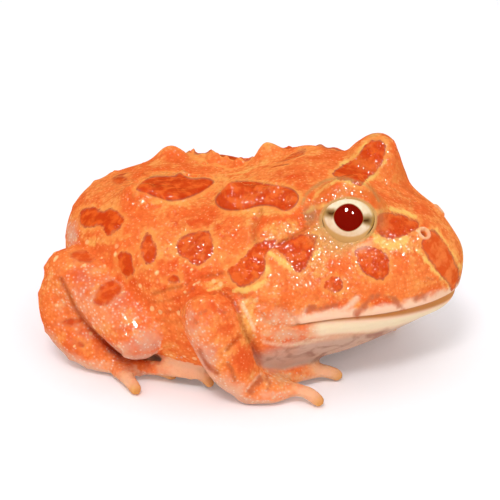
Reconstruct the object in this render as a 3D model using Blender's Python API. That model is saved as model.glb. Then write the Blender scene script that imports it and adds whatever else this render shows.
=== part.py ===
"""Argentine horned frog, sitting on the floor, life size.

Metres, +Z up, +X towards the snout, +Y towards the frog's left. Sizes below are in
millimetres for a frog 70 mm long and grow with SNOUT_VENT.
"""

import math

import bmesh
import bpy
import numpy as np
from mathutils import Matrix, Vector

HOME = "argentine_horned_frog"
# Driving sizes, in millimetres
SNOUT_VENT = 70.0
GAP = 0.3
K = SNOUT_VENT / 70.0
MM = 0.001 * K

# Trunk and head: x, half width, back, underside, height of the widest line, and how
# square the section is above and below that line (2 is an ellipse)
STATIONS = (
    (-33.8, 0.0, 16.5, 16.5, 16.5, 2.0, 2.0),
    (-33.2, 5.4, 20.8, 10.0, 16.4, 2.0, 2.0),
    (-31.4, 10.2, 23.6, 5.2, 16.6, 2.1, 2.0),
    (-27.3, 14.6, 25.9, 1.2, 17.0, 2.1, 2.0),
    (-20.5, 18.8, 28.0, -0.6, 17.0, 2.1, 2.2),
    (-13.5, 22.2, 28.3, -0.8, 16.6, 2.1, 2.8),
    (-7.0, 24.2, 28.4, -0.8, 16.0, 2.1, 3.0),
    (0.5, 24.2, 30.8, -0.6, 15.4, 2.15, 3.0),
    (7.0, 22.6, 32.8, 0.0, 15.2, 2.2, 2.7),
    (13.0, 20.3, 32.6, 1.7, 15.2, 2.15, 2.2),
    (18.5, 17.5, 31.4, 3.7, 15.6, 2.15, 2.1),
    (24.0, 14.6, 29.2, 6.8, 16.4, 2.15, 2.1),
    (28.6, 11.0, 26.8, 9.4, 17.3, 2.1, 2.0),
    (31.8, 7.2, 24.0, 11.4, 18.0, 2.05, 2.0),
    (33.8, 3.8, 21.5, 14.0, 18.4, 2.0, 2.0),
    (34.4, 0.0, 18.4, 18.4, 18.4, 2.0, 2.0),
)
TRUNK_RINGS = 36
# Intervals between the belly's middle and the mouth, and between the mouth and the back's middle
BELLY_SIDES, BACK_SIDES = 5, 10

# Low swellings of the trunk and head: place, size along x, y and z, and height
SWELLINGS = (
    ("loin wart", (-19.3, 8.6, 28.0), (2.8, 1.9, 3.0), 2.5),
    ("loin ridge", (-13.6, 8.6, 28.2), (3.6, 1.7, 3.0), 0.8),
    ("shoulder wart", (-1.6, 9.2, 29.4), (2.4, 2.2, 3.0), 2.8),
    ("shoulder ridge", (4.4, 9.8, 30.8), (4.2, 2.4, 3.0), 1.2),
    ("nape", (11.5, 9.5, 31.6), (2.6, 3.2, 3.0), 0.6),
    ("brow ridge to the nostril", (25.0, 6.4, 29.0), (4.0, 1.8, 3.0), 0.6),
    ("jowl", (9.5, 20.0, 17.0), (4.0, 4.0, 4.0), 0.8),
    ("temple", (9.5, 14.0, 26.5), (3.2, 3.5, 2.6), 0.8),
)

# Mouth and neck cuts
MOUTH_HEIGHT, MOUTH_ARCH, MOUTH_CLIMB = 14.2, 0.5, 0.6
MOUTH_BACK, MOUTH_FRONT = 11.5, 33.0
# Rows of points along the lips, above the mouth line
LIP_ROWS = (-2.4, -1.1, -0.15, 0.8, 2.1)
UPPER_LIP, LOWER_LIP, MOUTH_GROOVE = 0.55, 0.25, 0.55
NECK_X, NECK_LEAN = 7.0, -0.10

# Eyes, lids and horns
EYE_CENTRE, EYE_RADIUS = (17.1, 7.9, 28.3), 5.2
GAZE = Vector((0.27, 0.87, 0.36)).normalized()
LID_RADIUS, EYE_OPENING = 6.2, 4.2
# The right horn is the blunter one
HORN_HEIGHTS, HORN_SPREAD = {-1: 1.3, 1: 2.2}, 0.5
HORN_LEAN = Vector((0.16, 0.12, 1.0)).normalized()
LID_RINGS, LID_SIDES, EYE_SIDES = 14, 20, 20

# Nostrils
NOSTRIL, NOSTRIL_RADIUS, NOSTRIL_HOLE = (29.1, 5.0, 25.8), 1.1, 0.5
NOSTRIL_AXIS = Vector((0.30, 0.60, 0.75)).normalized()

# Limbs with y positive, mirrored when built: points of the centre line with half width
# and half height at each
FOREARM = (
    ((-2.0, 24.6, 19.6), 3.9, 3.9),
    ((-1.0, 24.9, 15.8), 4.4, 4.4),
    ((1.0, 24.5, 10.9), 4.3, 4.3),
    ((2.7, 23.5, 6.6), 4.1, 4.1),
    ((4.6, 22.4, 2.2), 3.6, 3.6),
)
UPPER_ARM = (
    ((11.5, 14.5, 9.8), 3.4, 3.4),
    ((7.6, 18.6, 11.4), 4.0, 4.0),
    ((2.0, 22.4, 14.6), 4.3, 4.3),
    ((-1.8, 24.0, 17.4), 3.8, 3.8),
)
PALM = (
    ((2.4, 23.4, 2.8), 3.0, 2.6),
    ((5.4, 22.2, 2.5), 3.6, 2.7),
    ((8.8, 20.2, 2.0), 3.6, 2.1),
    ((11.2, 18.6, 1.8), 3.0, 1.6),
)
FINGERS = {
    "finger_1": (((6.4, 18.6, 1.7), 1.4), ((4.8, 14.6, 1.6), 1.2), ((4.0, 11.4, 0.8), 0.85)),
    "finger_2": (((8.8, 17.4, 1.7), 1.4), ((8.6, 12.8, 1.9), 1.2), ((10.2, 8.6, 0.8), 0.85)),
    "finger_3": (((9.8, 17.6, 2.1), 1.6), ((13.8, 13.0, 2.4), 1.3), ((17.6, 11.2, 0.8), 0.9)),
    "finger_4": (((10.0, 20.2, 2.0), 1.6), ((13.8, 20.4, 2.3), 1.25), ((17.2, 21.2, 0.8), 0.9)),
}
SHANK = (
    ((-10.3, 22.9, 6.9), 3.9, 3.9),
    ((-14.4, 22.0, 9.6), 4.8, 4.8),
    ((-21.6, 19.4, 13.4), 4.8, 4.8),
    ((-27.4, 17.0, 15.4), 4.6, 4.6),
    ((-32.2, 15.6, 15.0), 3.8, 3.8),
)
THIGH = (
    ((-29.0, 10.0, 13.0), 5.0, 5.0),
    ((-23.0, 13.6, 12.0), 5.8, 5.8),
    ((-16.0, 17.4, 10.4), 5.6, 5.6),
    ((-10.0, 20.0, 8.4), 4.2, 4.2),
)
SOLE = (
    ((-30.0, 17.0, 16.0), 3.2, 3.2),
    ((-29.2, 18.0, 12.3), 3.9, 3.9),
    ((-28.4, 18.6, 9.0), 4.1, 4.1),
    ((-26.6, 19.0, 6.3), 4.1, 4.1),
    ((-23.6, 19.6, 4.1), 3.7, 3.6),
    ((-20.6, 20.2, 2.5), 2.8, 2.4),
    ((-17.4, 20.9, 1.8), 2.0, 1.6),
)
TOES = {
    "toe_1": (((-20.4, 17.8, 1.5), 1.2), ((-18.4, 15.4, 1.3), 1.0), ((-17.2, 13.2, 0.8), 0.8)),
    "toe_2": (((-18.8, 18.8, 1.6), 1.3), ((-15.2, 16.8, 1.4), 1.05), ((-12.4, 15.0, 0.8), 0.8)),
    "toe_3": (((-17.8, 19.8, 1.6), 1.4), ((-12.8, 19.0, 1.3), 1.1), ((-8.3, 19.9, 0.8), 0.85)),
    "toe_4": (
        ((-17.4, 21.0, 1.8), 1.5),
        ((-12.4, 21.3, 2.7), 1.25),
        ((-7.6, 21.4, 2.9), 1.15),
        ((-3.7, 21.0, 2.7), 1.05),
        ((-1.4, 21.2, 0.8), 0.85),
    ),
    "toe_5": (((-18.6, 21.4, 1.7), 1.6), ((-15.4, 24.2, 1.8), 1.2), ((-12.5, 26.8, 0.8), 0.9)),
}
LIMB_RINGS, LIMB_SIDES = 11, 12
DIGIT_RINGS, DIGIT_SIDES = 7, 7
# The left hand rests further forward and nearer the chin
LEFT_HAND_STEP = Vector((4.4, -3.0, 0.0))
LEFT_HAND_REACH = 18.0


def clear_scene():
    """Removes whatever the file holds."""
    for obj in list(bpy.data.objects):
        bpy.data.objects.remove(obj, do_unlink=True)


def material(name, colour, roughness):
    """A Principled material with a linear base colour."""
    made = bpy.data.materials.new(name)
    made.use_nodes = True
    shader = made.node_tree.nodes["Principled BSDF"]
    shader.inputs["Base Color"].default_value = (*colour, 1.0)
    shader.inputs["Roughness"].default_value = roughness
    made.diffuse_color = (*colour, 1.0)
    return made


def along(rows, count, ghosts=None):
    """Catmull-Rom curve through the rows, at count even steps of their index."""
    rows = np.asarray(rows, float)
    first, last = ghosts if ghosts else (2 * rows[0] - rows[1], 2 * rows[-1] - rows[-2])
    padded = np.vstack([first, rows, last])
    at = np.linspace(0, len(rows) - 1, count)
    k = np.minimum(at.astype(int), len(rows) - 2)
    t = (at - k)[:, None]
    a, b, c, d = (padded[k + i] for i in range(4))
    return 0.5 * (2 * b + (c - a) * t + (2 * a - 5 * b + 4 * c - d) * t**2 + (3 * b - a - 3 * c + d) * t**3)


def closed_grid(name, grid):
    """A closed mesh from rings of points: quads between rings, and a fan to the mean of each end ring."""
    rings, sides = grid.shape[:2]
    points = np.vstack([grid.reshape(-1, 3), grid[0].mean(0), grid[-1].mean(0)])
    i, j = np.meshgrid(np.arange(rings - 1), np.arange(sides), indexing="ij")
    right = (j + 1) % sides
    quads = np.stack([i * sides + j, i * sides + right, (i + 1) * sides + right, (i + 1) * sides + j], -1)
    side = np.arange(sides)
    after = (side + 1) % sides
    start, end = rings * sides, rings * sides + 1
    back = (rings - 1) * sides
    fans = [(start, b, a) for a, b in zip(side, after)]
    fans += [(end, back + a, back + b) for a, b in zip(side, after)]
    mesh = bpy.data.meshes.new(name)
    mesh.from_pydata((points * MM).tolist(), [], [tuple(q) for q in quads.reshape(-1, 4)] + fans)
    solid = bmesh.new()
    solid.from_mesh(mesh)
    bmesh.ops.recalc_face_normals(solid, faces=solid.faces)
    solid.to_mesh(mesh)
    solid.free()
    made = bpy.data.objects.new(name, mesh)
    bpy.context.scene.collection.objects.link(made)
    return made


def side_angles(x, back, under, beam, low):
    """Angles round each section, from the belly's middle up to the back's: even, but with rows along the lips."""
    rows = np.array(LIP_ROWS)[None, :]
    drop = np.clip((beam - mouth_height(x) - rows) / (beam - under), -0.5, 1.0)
    lips = -np.sign(drop) * np.arcsin(np.abs(drop) ** (low / 2))
    least = -math.pi / 2 + 0.05 * (BELLY_SIDES + np.arange(len(LIP_ROWS)))
    lips = np.maximum(lips, least)
    belly = np.linspace(0, 1, BELLY_SIDES + 1)[None, :-1]
    spine = np.linspace(0, 1, BACK_SIDES + 1)[None, 1:]
    below = -math.pi / 2 + (lips[:, :1] + math.pi / 2) * belly
    above = lips[:, -1:] + (math.pi / 2 - lips[:, -1:]) * spine
    return np.hstack([below, lips, above])


def lip_height(points):
    """How far the lips stand out and the mouth line sinks in, by the height above the mouth line."""
    above = points[..., 2] - mouth_height(points[..., 0])
    upper = UPPER_LIP * np.exp(-(((above - 0.9) / 0.7) ** 2))
    lower = LOWER_LIP * np.exp(-(((above + 1.2) / 0.7) ** 2))
    groove = MOUTH_GROOVE * np.exp(-(((above + GAP / 2) / 0.35) ** 2))
    return (upper + lower - groove) * np.clip((points[..., 0] - MOUTH_BACK + 1.0) / 2.5, 0, 1)


def trunk_grid(rings):
    """Superellipse sections across the body, from the vent to the snout tip, with the swellings added."""
    rows = np.array(STATIONS)
    ghosts = []
    for row in (rows[1], rows[-2]):
        x, half, back, under, beam, up, low = row
        ghosts.append(np.array([x, -half, under, back, beam, up, low]))
    # Even steps of length along the back, so that the blunt ends are as fine as the rest
    fine = along(rows, 600, ghosts)
    reach = np.hypot(np.hypot(np.diff(fine[:, 0]), np.diff(fine[:, 1])), np.diff(fine[:, 2]))
    length = np.concatenate([[0], np.cumsum(reach)])
    even = np.linspace(0, length[-1], rings + 2)[1:-1]
    x, half, back, under, beam, up, low = (np.interp(even, length, fine[:, c])[:, None] for c in range(7))
    right = side_angles(x, back, under, beam, low)
    v = np.hstack([right, math.pi - right[:, -2:0:-1]])
    power = np.where(np.sin(v) >= 0, 2 / up, 2 / low)
    side = np.sign(np.cos(v)) * np.abs(np.cos(v)) ** power
    rise = np.abs(np.sin(v)) ** power
    y = half * side
    z = np.where(np.sin(v) >= 0, beam + (back - beam) * rise, beam - (beam - under) * rise)
    grid = np.stack([x + 0 * y, y, z], -1)
    return swell(grid)


def grid_normals(grid):
    """Outward normals of a ring grid, by central differences."""
    du = np.gradient(grid, axis=0)
    dv = np.roll(grid, -1, axis=1) - np.roll(grid, 1, axis=1)
    normal = np.cross(dv, du)
    normal /= np.linalg.norm(normal, axis=2, keepdims=True) + 1e-9
    outward = ((grid - grid.mean(axis=1, keepdims=True)) * normal).sum(-1, keepdims=True)
    return normal * np.where(outward.mean() < 0, -1.0, 1.0)


def swell(grid):
    """Moves points out along their normals by a Gaussian about each swelling, on both sides."""
    normals = grid_normals(grid)
    height = np.zeros(grid.shape[:2])
    for _, centre, size, amount in SWELLINGS:
        for side in (-1, 1):
            off = (grid - np.array(centre) * (1, side, 1)) / np.array(size)
            height += amount * np.exp(-(off**2).sum(-1))
    return grid + normals * (height + lip_height(grid))[..., None]


def stepped(point, step):
    """A point of the left arm, carried forward the more the nearer it is to the floor."""
    return Vector(point) + step * max(0.0, 1.0 - point[2] / LEFT_HAND_REACH)


def tube(name, rows, rings, sides, grow=0.0, mirror=1, step=Vector((0, 0, 0))):
    """A limb segment: ellipses carried along a curve, with round ends. The first and last points are its tips."""
    rows = np.array([(*stepped(point, step), wide, high) for point, wide, high in rows], float)
    fine = along(rows, 200)
    step = np.linalg.norm(np.diff(fine[:, :3], axis=0), axis=1)
    length = np.concatenate([[0], np.cumsum(step)])
    total = length[-1]
    # Closer rings near the round ends
    share = 0.5 - 0.5 * np.cos(np.linspace(0.05, 0.95, rings) * math.pi)
    at = share * total
    centre = np.stack([np.interp(at, length, fine[:, c]) for c in range(3)], -1)
    wide, high = (np.interp(at, length, fine[:, c]) for c in (3, 4))
    ends = np.minimum(at, total - at)
    cap = np.where(at < total / 2, rows[0, 3:].min(), rows[-1, 3:].min())
    close = np.sqrt(1 - (1 - np.clip(ends / cap, 0, 1)) ** 2)
    tangent = np.gradient(centre, axis=0)
    tangent /= np.linalg.norm(tangent, axis=1, keepdims=True)
    level = np.cross(centre[-1] - centre[0], (0.0, 0.0, 1.0))
    across = level - tangent * (tangent @ level)[:, None]
    across /= np.linalg.norm(across, axis=1, keepdims=True)
    above = np.cross(across, tangent)
    v = np.linspace(0, 2 * math.pi, sides, endpoint=False)
    around = (
        across[:, None] * np.cos(v)[None, :, None] * ((wide + grow) * close)[:, None, None]
        + above[:, None] * np.sin(v)[None, :, None] * ((high + grow) * close)[:, None, None]
    )
    grid = centre[:, None] + around
    # A grown copy reaches further past its tips as well
    grid[0] -= tangent[0] * grow
    grid[-1] += tangent[-1] * grow
    grid = grid * (1, mirror, 1)
    return closed_grid(name, grid)


def digit(name, rows, grow=0.0, mirror=1, step=Vector((0, 0, 0))):
    """A finger or toe: a slim tube whose tip comes down to the floor."""
    full = [(point, radius, radius) for point, radius in rows]
    return tube(name, full, DIGIT_RINGS + len(rows) - 3, DIGIT_SIDES, grow, mirror, step)


def primitive(name, build, place, axis=None):
    """An object from a bmesh primitive, turned so that its +Z lies along axis, at place in millimetres."""
    mesh = bpy.data.meshes.new(name)
    solid = bmesh.new()
    build(solid)
    solid.to_mesh(mesh)
    solid.free()
    turn = Vector((0, 0, 1)).rotation_difference(axis).to_matrix().to_4x4() if axis else Matrix.Identity(4)
    mesh.transform(Matrix.Translation(Vector(place) * MM) @ turn)
    made = bpy.data.objects.new(name, mesh)
    bpy.context.scene.collection.objects.link(made)
    return made


def ball(name, radius, place, segments):
    """A sphere, radius and place in millimetres."""
    rings = segments // 2
    return primitive(
        name,
        lambda b: bmesh.ops.create_uvsphere(b, u_segments=segments, v_segments=rings, radius=radius * MM),
        place,
    )


def cone(name, low, high, depth, place, axis, segments=24):
    """A cone or cylinder whose base centre is at place, its axis pointing away from the base."""

    def build(b):
        """Adds the cone with its base at the origin."""
        bmesh.ops.create_cone(
            b, cap_ends=True, segments=segments, radius1=low * MM, radius2=high * MM, depth=depth * MM
        )
        bmesh.ops.translate(b, verts=b.verts, vec=(0, 0, depth * MM / 2))

    return primitive(name, build, place, axis)


def slab(name, low, high):
    """A box between two corners, in millimetres."""
    size, middle = Vector(high) - Vector(low), (Vector(high) + Vector(low)) / 2

    def build(b):
        """Adds the box centred on the origin."""
        bmesh.ops.create_cube(b, size=MM)
        bmesh.ops.scale(b, verts=b.verts, vec=size)

    return primitive(name, build, middle)


def mirrored(vector, side):
    """The same direction or place on the frog's left (side 1) or right (side -1)."""
    return Vector((vector[0], vector[1] * side, vector[2]))


def largest_surface(mesh):
    """Keeps only the closed surface with the largest volume, and drops loose scraps and sealed hollows."""
    solid = bmesh.new()
    solid.from_mesh(mesh)
    bmesh.ops.triangulate(solid, faces=solid.faces)
    unseen, islands = set(solid.faces), []
    while unseen:
        stack, island = [unseen.pop()], []
        while stack:
            face = stack.pop()
            island.append(face)
            for edge in face.edges:
                for other in edge.link_faces:
                    if other in unseen:
                        unseen.remove(other)
                        stack.append(other)
        islands.append(island)

    def volume(island):
        """Signed volume of one surface."""
        return sum(f.verts[0].co.dot(f.verts[1].co.cross(f.verts[2].co)) for f in island)

    keep = max(islands, key=volume)
    drop = [face for island in islands if island is not keep for face in island]
    bmesh.ops.delete(solid, geom=drop, context="FACES")
    loose = [vertex for vertex in solid.verts if not vertex.link_faces]
    bmesh.ops.delete(solid, geom=loose, context="VERTS")
    solid.to_mesh(mesh)
    solid.free()


def boolean(obj, others, operation):
    """Applies one Boolean with a collection of closed meshes, then removes them."""
    tools = bpy.data.collections.new(obj.name + "_tools")
    bpy.context.scene.collection.children.link(tools)
    for other in others:
        tools.objects.link(other)
    modifier = obj.modifiers.new(operation.title(), "BOOLEAN")
    modifier.operation = operation
    modifier.solver = "EXACT"
    modifier.operand_type = "COLLECTION"
    modifier.collection = tools
    graph = bpy.context.evaluated_depsgraph_get()
    mesh = bpy.data.meshes.new_from_object(obj.evaluated_get(graph))
    obj.modifiers.clear()
    obj.data = mesh
    largest_surface(mesh)
    bpy.data.collections.remove(tools)
    for other in others:
        bpy.data.objects.remove(other, do_unlink=True)
    return obj


def duplicate(obj, name):
    """A copy of an object with its own mesh."""
    made = obj.copy()
    made.data = obj.data.copy()
    made.name = made.data.name = name
    bpy.context.scene.collection.objects.link(made)
    return made


def flat_foot(obj):
    """Presses whatever would reach below the floor into a flat on it."""
    points = np.empty(len(obj.data.vertices) * 3, np.float32)
    obj.data.vertices.foreach_get("co", points)
    points = points.reshape(-1, 3)
    points[:, 2] = np.maximum(points[:, 2], 0.0)
    obj.data.vertices.foreach_set("co", points.ravel())
    obj.data.update()
    return obj


def mouth_height(x):
    """Height of the mouth line, which arches a little between its corner and the front."""
    share = np.clip((x - MOUTH_BACK) / (MOUTH_FRONT - MOUTH_BACK), 0, 1)
    return MOUTH_HEIGHT + MOUTH_CLIMB * share**3 + MOUTH_ARCH * np.sin(math.pi * share)


def under_mouth(name, drop):
    """Everything in front of the neck and below the mouth line, lowered by drop: it divides jaw from head."""
    x = np.linspace(-2.0, 44.0, 24)
    top = mouth_height(x) - drop
    width, floor = 40.0, -10.0
    corners = [
        np.stack([x, np.full_like(x, y), z * np.ones_like(x)], -1)
        for y, z in ((-width, floor), (width, floor), (width, top), (-width, top))
    ]
    return closed_grid(name, np.stack(corners, 1))


def behind_neck(name, back):
    """Everything behind the leaning plane of the neck, moved back by back: it divides torso from head."""
    lean = math.atan(NECK_LEAN)
    box = slab(name, (-60.0, -50.0, -40.0), (-back, 50.0, 70.0))
    box.data.transform(Matrix.Translation(Vector((NECK_X, 0, 0)) * MM) @ Matrix.Rotation(lean, 4, "Y"))
    return box


def lid_dome(name, side, grow=0.0):
    """The skin over the eyeball: a sphere about the eye that rises to a blunt horn."""
    axis = mirrored(HORN_LEAN, side)
    u = np.linspace(0, math.pi, LID_RINGS + 2)[1:-1, None]
    v = np.linspace(0, 2 * math.pi, LID_SIDES, endpoint=False)[None, :]
    way = np.stack([np.sin(u) * np.cos(v), np.sin(u) * np.sin(v), np.cos(u) + 0 * v], -1)
    angle = np.arccos(np.clip(way @ np.array(axis), -1, 1))
    radius = LID_RADIUS + grow + HORN_HEIGHTS[side] * np.exp(-((angle / HORN_SPREAD) ** 2))
    return closed_grid(name, way * radius[..., None] + np.array(mirrored(EYE_CENTRE, side)))


def lid_region(name, side, grow):
    """The part of the head that is the upper lid: the dome above a plane through the eye's corners."""
    region = lid_dome(name, side, 0.4 + grow)
    solid = bmesh.new()
    solid.from_mesh(region.data)
    tilt = mirrored(Vector((0.05, -0.30, 1.0)).normalized(), side)
    place = mirrored(EYE_CENTRE, side) + tilt * (1.2 - grow)
    cut = bmesh.ops.bisect_plane(
        solid,
        geom=solid.verts[:] + solid.edges[:] + solid.faces[:],
        plane_co=place * MM,
        plane_no=tilt,
        clear_inner=True,
    )
    rim = [e for e in cut["geom_cut"] if isinstance(e, bmesh.types.BMEdge)]
    bmesh.ops.contextual_create(solid, geom=rim)
    bmesh.ops.recalc_face_normals(solid, faces=solid.faces)
    solid.to_mesh(region.data)
    solid.free()
    return region


def socket(name, side):
    """The eyeball's room in the head, with the opening between the lids."""
    room = ball(name, EYE_RADIUS + GAP, mirrored(EYE_CENTRE, side), EYE_SIDES)
    way = mirrored(GAZE, side)
    wide = EYE_OPENING * 1.35
    mouth = cone(name + "_opening", EYE_OPENING * 0.75, wide, 6.0, mirrored(EYE_CENTRE, side) + way * 2.0, way)
    return boolean(room, [mouth], "UNION")


def nostril_rim(side):
    """The short raised tube round a nostril."""
    way = mirrored(NOSTRIL_AXIS, side)
    place = mirrored(NOSTRIL, side) - way * 1.4
    return cone(f"nostril_rim_{side}", NOSTRIL_RADIUS * 1.5, NOSTRIL_RADIUS * 0.85, 2.2, place, way, 16)


def nostril_hole(side):
    """The pit of a nostril."""
    way = mirrored(NOSTRIL_AXIS, side)
    place = mirrored(NOSTRIL, side) - way * 0.6
    return cone(f"nostril_hole_{side}", NOSTRIL_HOLE * 0.8, NOSTRIL_HOLE * 1.1, 3.0, place, way, 12)


def build_head_parts():
    """Torso, head, lower jaw, lids and eyes, cut from one trunk."""
    trunk = flat_foot(closed_grid("torso", trunk_grid(TRUNK_RINGS)))
    whole_head = duplicate(trunk, "head")
    boolean(trunk, [behind_neck("rear", GAP / 2)], "INTERSECT")
    boolean(whole_head, [behind_neck("rear", -GAP / 2)], "DIFFERENCE")
    jaw = duplicate(whole_head, "lower_jaw")
    boolean(jaw, [under_mouth("under", GAP)], "INTERSECT")
    boolean(whole_head, [under_mouth("under", 0.0)], "DIFFERENCE")
    domes = [lid_dome(f"dome_{side}", side) for side in (-1, 1)]
    rims = [nostril_rim(side) for side in (-1, 1)]
    boolean(whole_head, domes + rims, "UNION")
    boolean(whole_head, [socket(f"socket_{s}", s) for s in (-1, 1)], "DIFFERENCE")
    boolean(whole_head, [nostril_hole(s) for s in (-1, 1)], "DIFFERENCE")
    lids = []
    for side, word in ((-1, "right"), (1, "left")):
        lid = duplicate(whole_head, f"eyelid_horn_{word}")
        boolean(lid, [lid_region("region", side, 0.0)], "INTERSECT")
        lids.append(lid)
    boolean(whole_head, [lid_region(f"region_{s}", s, GAP) for s in (-1, 1)], "DIFFERENCE")
    eyes = [
        ball(f"eye_{word}", EYE_RADIUS, mirrored(EYE_CENTRE, side), EYE_SIDES)
        for side, word in ((-1, "right"), (1, "left"))
    ]
    return trunk, whole_head, jaw, lids, eyes


def build_limb(side, word):
    """One side's arm and leg, each piece cleared of the ones that keep their whole shape."""
    step = LEFT_HAND_STEP if side > 0 else Vector((0, 0, 0))
    # name, how to build it with a given growth, in order: an earlier piece keeps its shape
    arm = [(f"hand_{word}", lambda n, g: tube(n, PALM, LIMB_RINGS, LIMB_SIDES, g, side, step))]
    arm += [(f"{key}_{word}", lambda n, g, r=rows: digit(n, r, g, side, step)) for key, rows in FINGERS.items()]
    arm += [
        (f"forearm_{word}", lambda n, g: tube(n, FOREARM, LIMB_RINGS + 2, LIMB_SIDES + 4, g, side, step)),
        (f"upper_arm_{word}", lambda n, g: tube(n, UPPER_ARM, LIMB_RINGS, LIMB_SIDES, g, side, step)),
    ]
    leg = [(f"foot_{word}", lambda n, g: tube(n, SOLE, LIMB_RINGS + 3, LIMB_SIDES, g, side))]
    leg += [(f"{key}_{word}", lambda n, g, r=rows: digit(n, r, g, side)) for key, rows in TOES.items()]
    leg += [
        (f"shank_{word}", lambda n, g: tube(n, SHANK, LIMB_RINGS + 2, LIMB_SIDES + 4, g, side)),
        (f"thigh_{word}", lambda n, g: tube(n, THIGH, LIMB_RINGS + 2, LIMB_SIDES + 4, g, side)),
    ]
    return arm, leg


def reach(obj):
    """Lowest and highest corner of a mesh."""
    points = np.array([v.co for v in obj.data.vertices])
    return points.min(0), points.max(0)


def clear_of(obj, makers):
    """Cuts away what lies within the gap of pieces that keep their shape."""
    low, high = reach(obj)
    cutters = []
    for name, make in makers:
        cutter = make(name + "_clearance", GAP)
        lower, upper = reach(cutter)
        if (lower < high).all() and (low < upper).all():
            cutters.append(cutter)
        else:
            bpy.data.objects.remove(cutter, do_unlink=True)
    if cutters:
        boolean(obj, cutters, "DIFFERENCE")
    return obj


def build_frog():
    """Every node of the frog."""
    torso, head, jaw, lids, eyes = build_head_parts()
    every = []
    for side, word in ((-1, "right"), (1, "left")):
        for chain in build_limb(side, word):
            for n, (name, make) in enumerate(chain):
                piece = flat_foot(make(name, 0.0))
                clear_of(piece, chain[:n])
                every.append((name, make, piece))
    makers = [(name, make) for name, make, _ in every]
    for part in (torso, head, jaw):
        clear_of(part, makers)
    return torso, head, jaw, lids, eyes, [piece for _, _, piece in every]


def centre_over_origin(objects):
    """Moves every mesh so that the origin is under the middle of the whole frog."""
    corners = [reach(obj) for obj in objects]
    low = np.min([c[0] for c in corners], 0)
    high = np.max([c[1] for c in corners], 0)
    middle = Vector((low + high) / 2)
    shift = Matrix.Translation((-middle.x, -middle.y, -low[2]))
    for obj in objects:
        obj.data.transform(shift)


def finish(objects, skin):
    """Gives each object a material, smooth shading and its collection."""
    home = bpy.data.collections.get(HOME) or bpy.data.collections.new(HOME)
    if home.name not in bpy.context.scene.collection.children:
        bpy.context.scene.collection.children.link(home)
    for obj in objects:
        obj.data.materials.clear()
        obj.data.materials.append(skin)
        obj.data.shade_smooth()
        for collection in obj.users_collection:
            collection.objects.unlink(obj)
        home.objects.link(obj)


def main():
    """Builds the frog and centres it over the origin."""
    clear_scene()
    torso, head, jaw, lids, eyes, limbs = build_frog()
    centre_over_origin([torso, head, jaw, *lids, *eyes, *limbs])
    finish([torso, head, *limbs], material("orange skin", (0.80, 0.22, 0.05), 0.4))
    finish([jaw], material("pale throat skin", (0.86, 0.62, 0.42), 0.4))
    finish(lids, material("horn skin", (0.70, 0.16, 0.03), 0.4))
    finish(eyes, material("eye", (0.30, 0.02, 0.02), 0.1))


main()
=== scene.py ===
"""Argentine horned frog: skin, markings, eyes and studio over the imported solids.

One skin stands for every node of flesh. It is worked out with numpy from the same named
sizes as the solids, in millimetres, and turned to metres at the end. Its markings are
outlines and strokes read from the photograph in pixels of its 500 x 500 frame, laid on the
skin from the photograph's own viewing angle and mirrored to the frog's left side.
"""

import math

import bmesh
import bpy
import numpy as np
from bpy.props import FloatProperty, FloatVectorProperty, PointerProperty
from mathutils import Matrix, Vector


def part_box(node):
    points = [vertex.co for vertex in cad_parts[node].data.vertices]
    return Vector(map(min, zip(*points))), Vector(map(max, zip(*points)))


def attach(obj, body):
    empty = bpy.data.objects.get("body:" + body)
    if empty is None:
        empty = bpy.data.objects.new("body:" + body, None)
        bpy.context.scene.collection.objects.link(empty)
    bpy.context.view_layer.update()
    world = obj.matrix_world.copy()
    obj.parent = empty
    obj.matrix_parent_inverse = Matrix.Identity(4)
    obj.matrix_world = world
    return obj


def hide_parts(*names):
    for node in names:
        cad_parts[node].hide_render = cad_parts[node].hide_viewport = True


bl_info = {
    "name": "Argentine horned frog",
    "version": (1, 0, 0),
    "blender": (4, 5, 0),
    "location": "View3D > Sidebar > Frog",
    "description": "Builds the skin, eyes and studio of a life-size horned frog over its solids",
    "category": "Object",
}

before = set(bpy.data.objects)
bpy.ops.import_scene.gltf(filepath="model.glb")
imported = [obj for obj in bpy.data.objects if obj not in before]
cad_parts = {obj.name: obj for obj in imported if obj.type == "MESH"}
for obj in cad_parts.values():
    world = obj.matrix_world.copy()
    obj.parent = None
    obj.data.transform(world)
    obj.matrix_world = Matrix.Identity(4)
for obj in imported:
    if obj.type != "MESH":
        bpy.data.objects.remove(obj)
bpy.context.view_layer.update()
MM = 0.001

# Trunk and head: x, half width, back, underside, height of the widest line, and how
# square the section is above and below that line
STATIONS = (
    (-33.8, 0.0, 16.5, 16.5, 16.5, 2.0, 2.0),
    (-33.2, 5.4, 20.8, 10.0, 16.4, 2.0, 2.0),
    (-31.4, 10.2, 23.6, 5.2, 16.6, 2.1, 2.0),
    (-27.3, 14.6, 25.9, 1.2, 17.0, 2.1, 2.0),
    (-20.5, 18.8, 28.0, -0.6, 17.0, 2.1, 2.2),
    (-13.5, 22.2, 28.3, -0.8, 16.6, 2.1, 2.8),
    (-7.0, 24.2, 28.4, -0.8, 16.0, 2.1, 3.0),
    (0.5, 24.2, 30.8, -0.6, 15.4, 2.15, 3.0),
    (7.0, 22.6, 32.8, 0.0, 15.2, 2.2, 2.7),
    (13.0, 20.3, 32.6, 1.7, 15.2, 2.15, 2.2),
    (18.5, 17.5, 31.4, 3.7, 15.6, 2.15, 2.1),
    (24.0, 14.6, 29.2, 6.8, 16.4, 2.15, 2.1),
    (28.6, 11.0, 26.8, 9.4, 17.3, 2.1, 2.0),
    (31.8, 7.2, 24.0, 11.4, 18.0, 2.05, 2.0),
    (33.8, 3.8, 21.5, 14.0, 18.4, 2.0, 2.0),
    (34.4, 0.0, 18.4, 18.4, 18.4, 2.0, 2.0),
)
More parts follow.
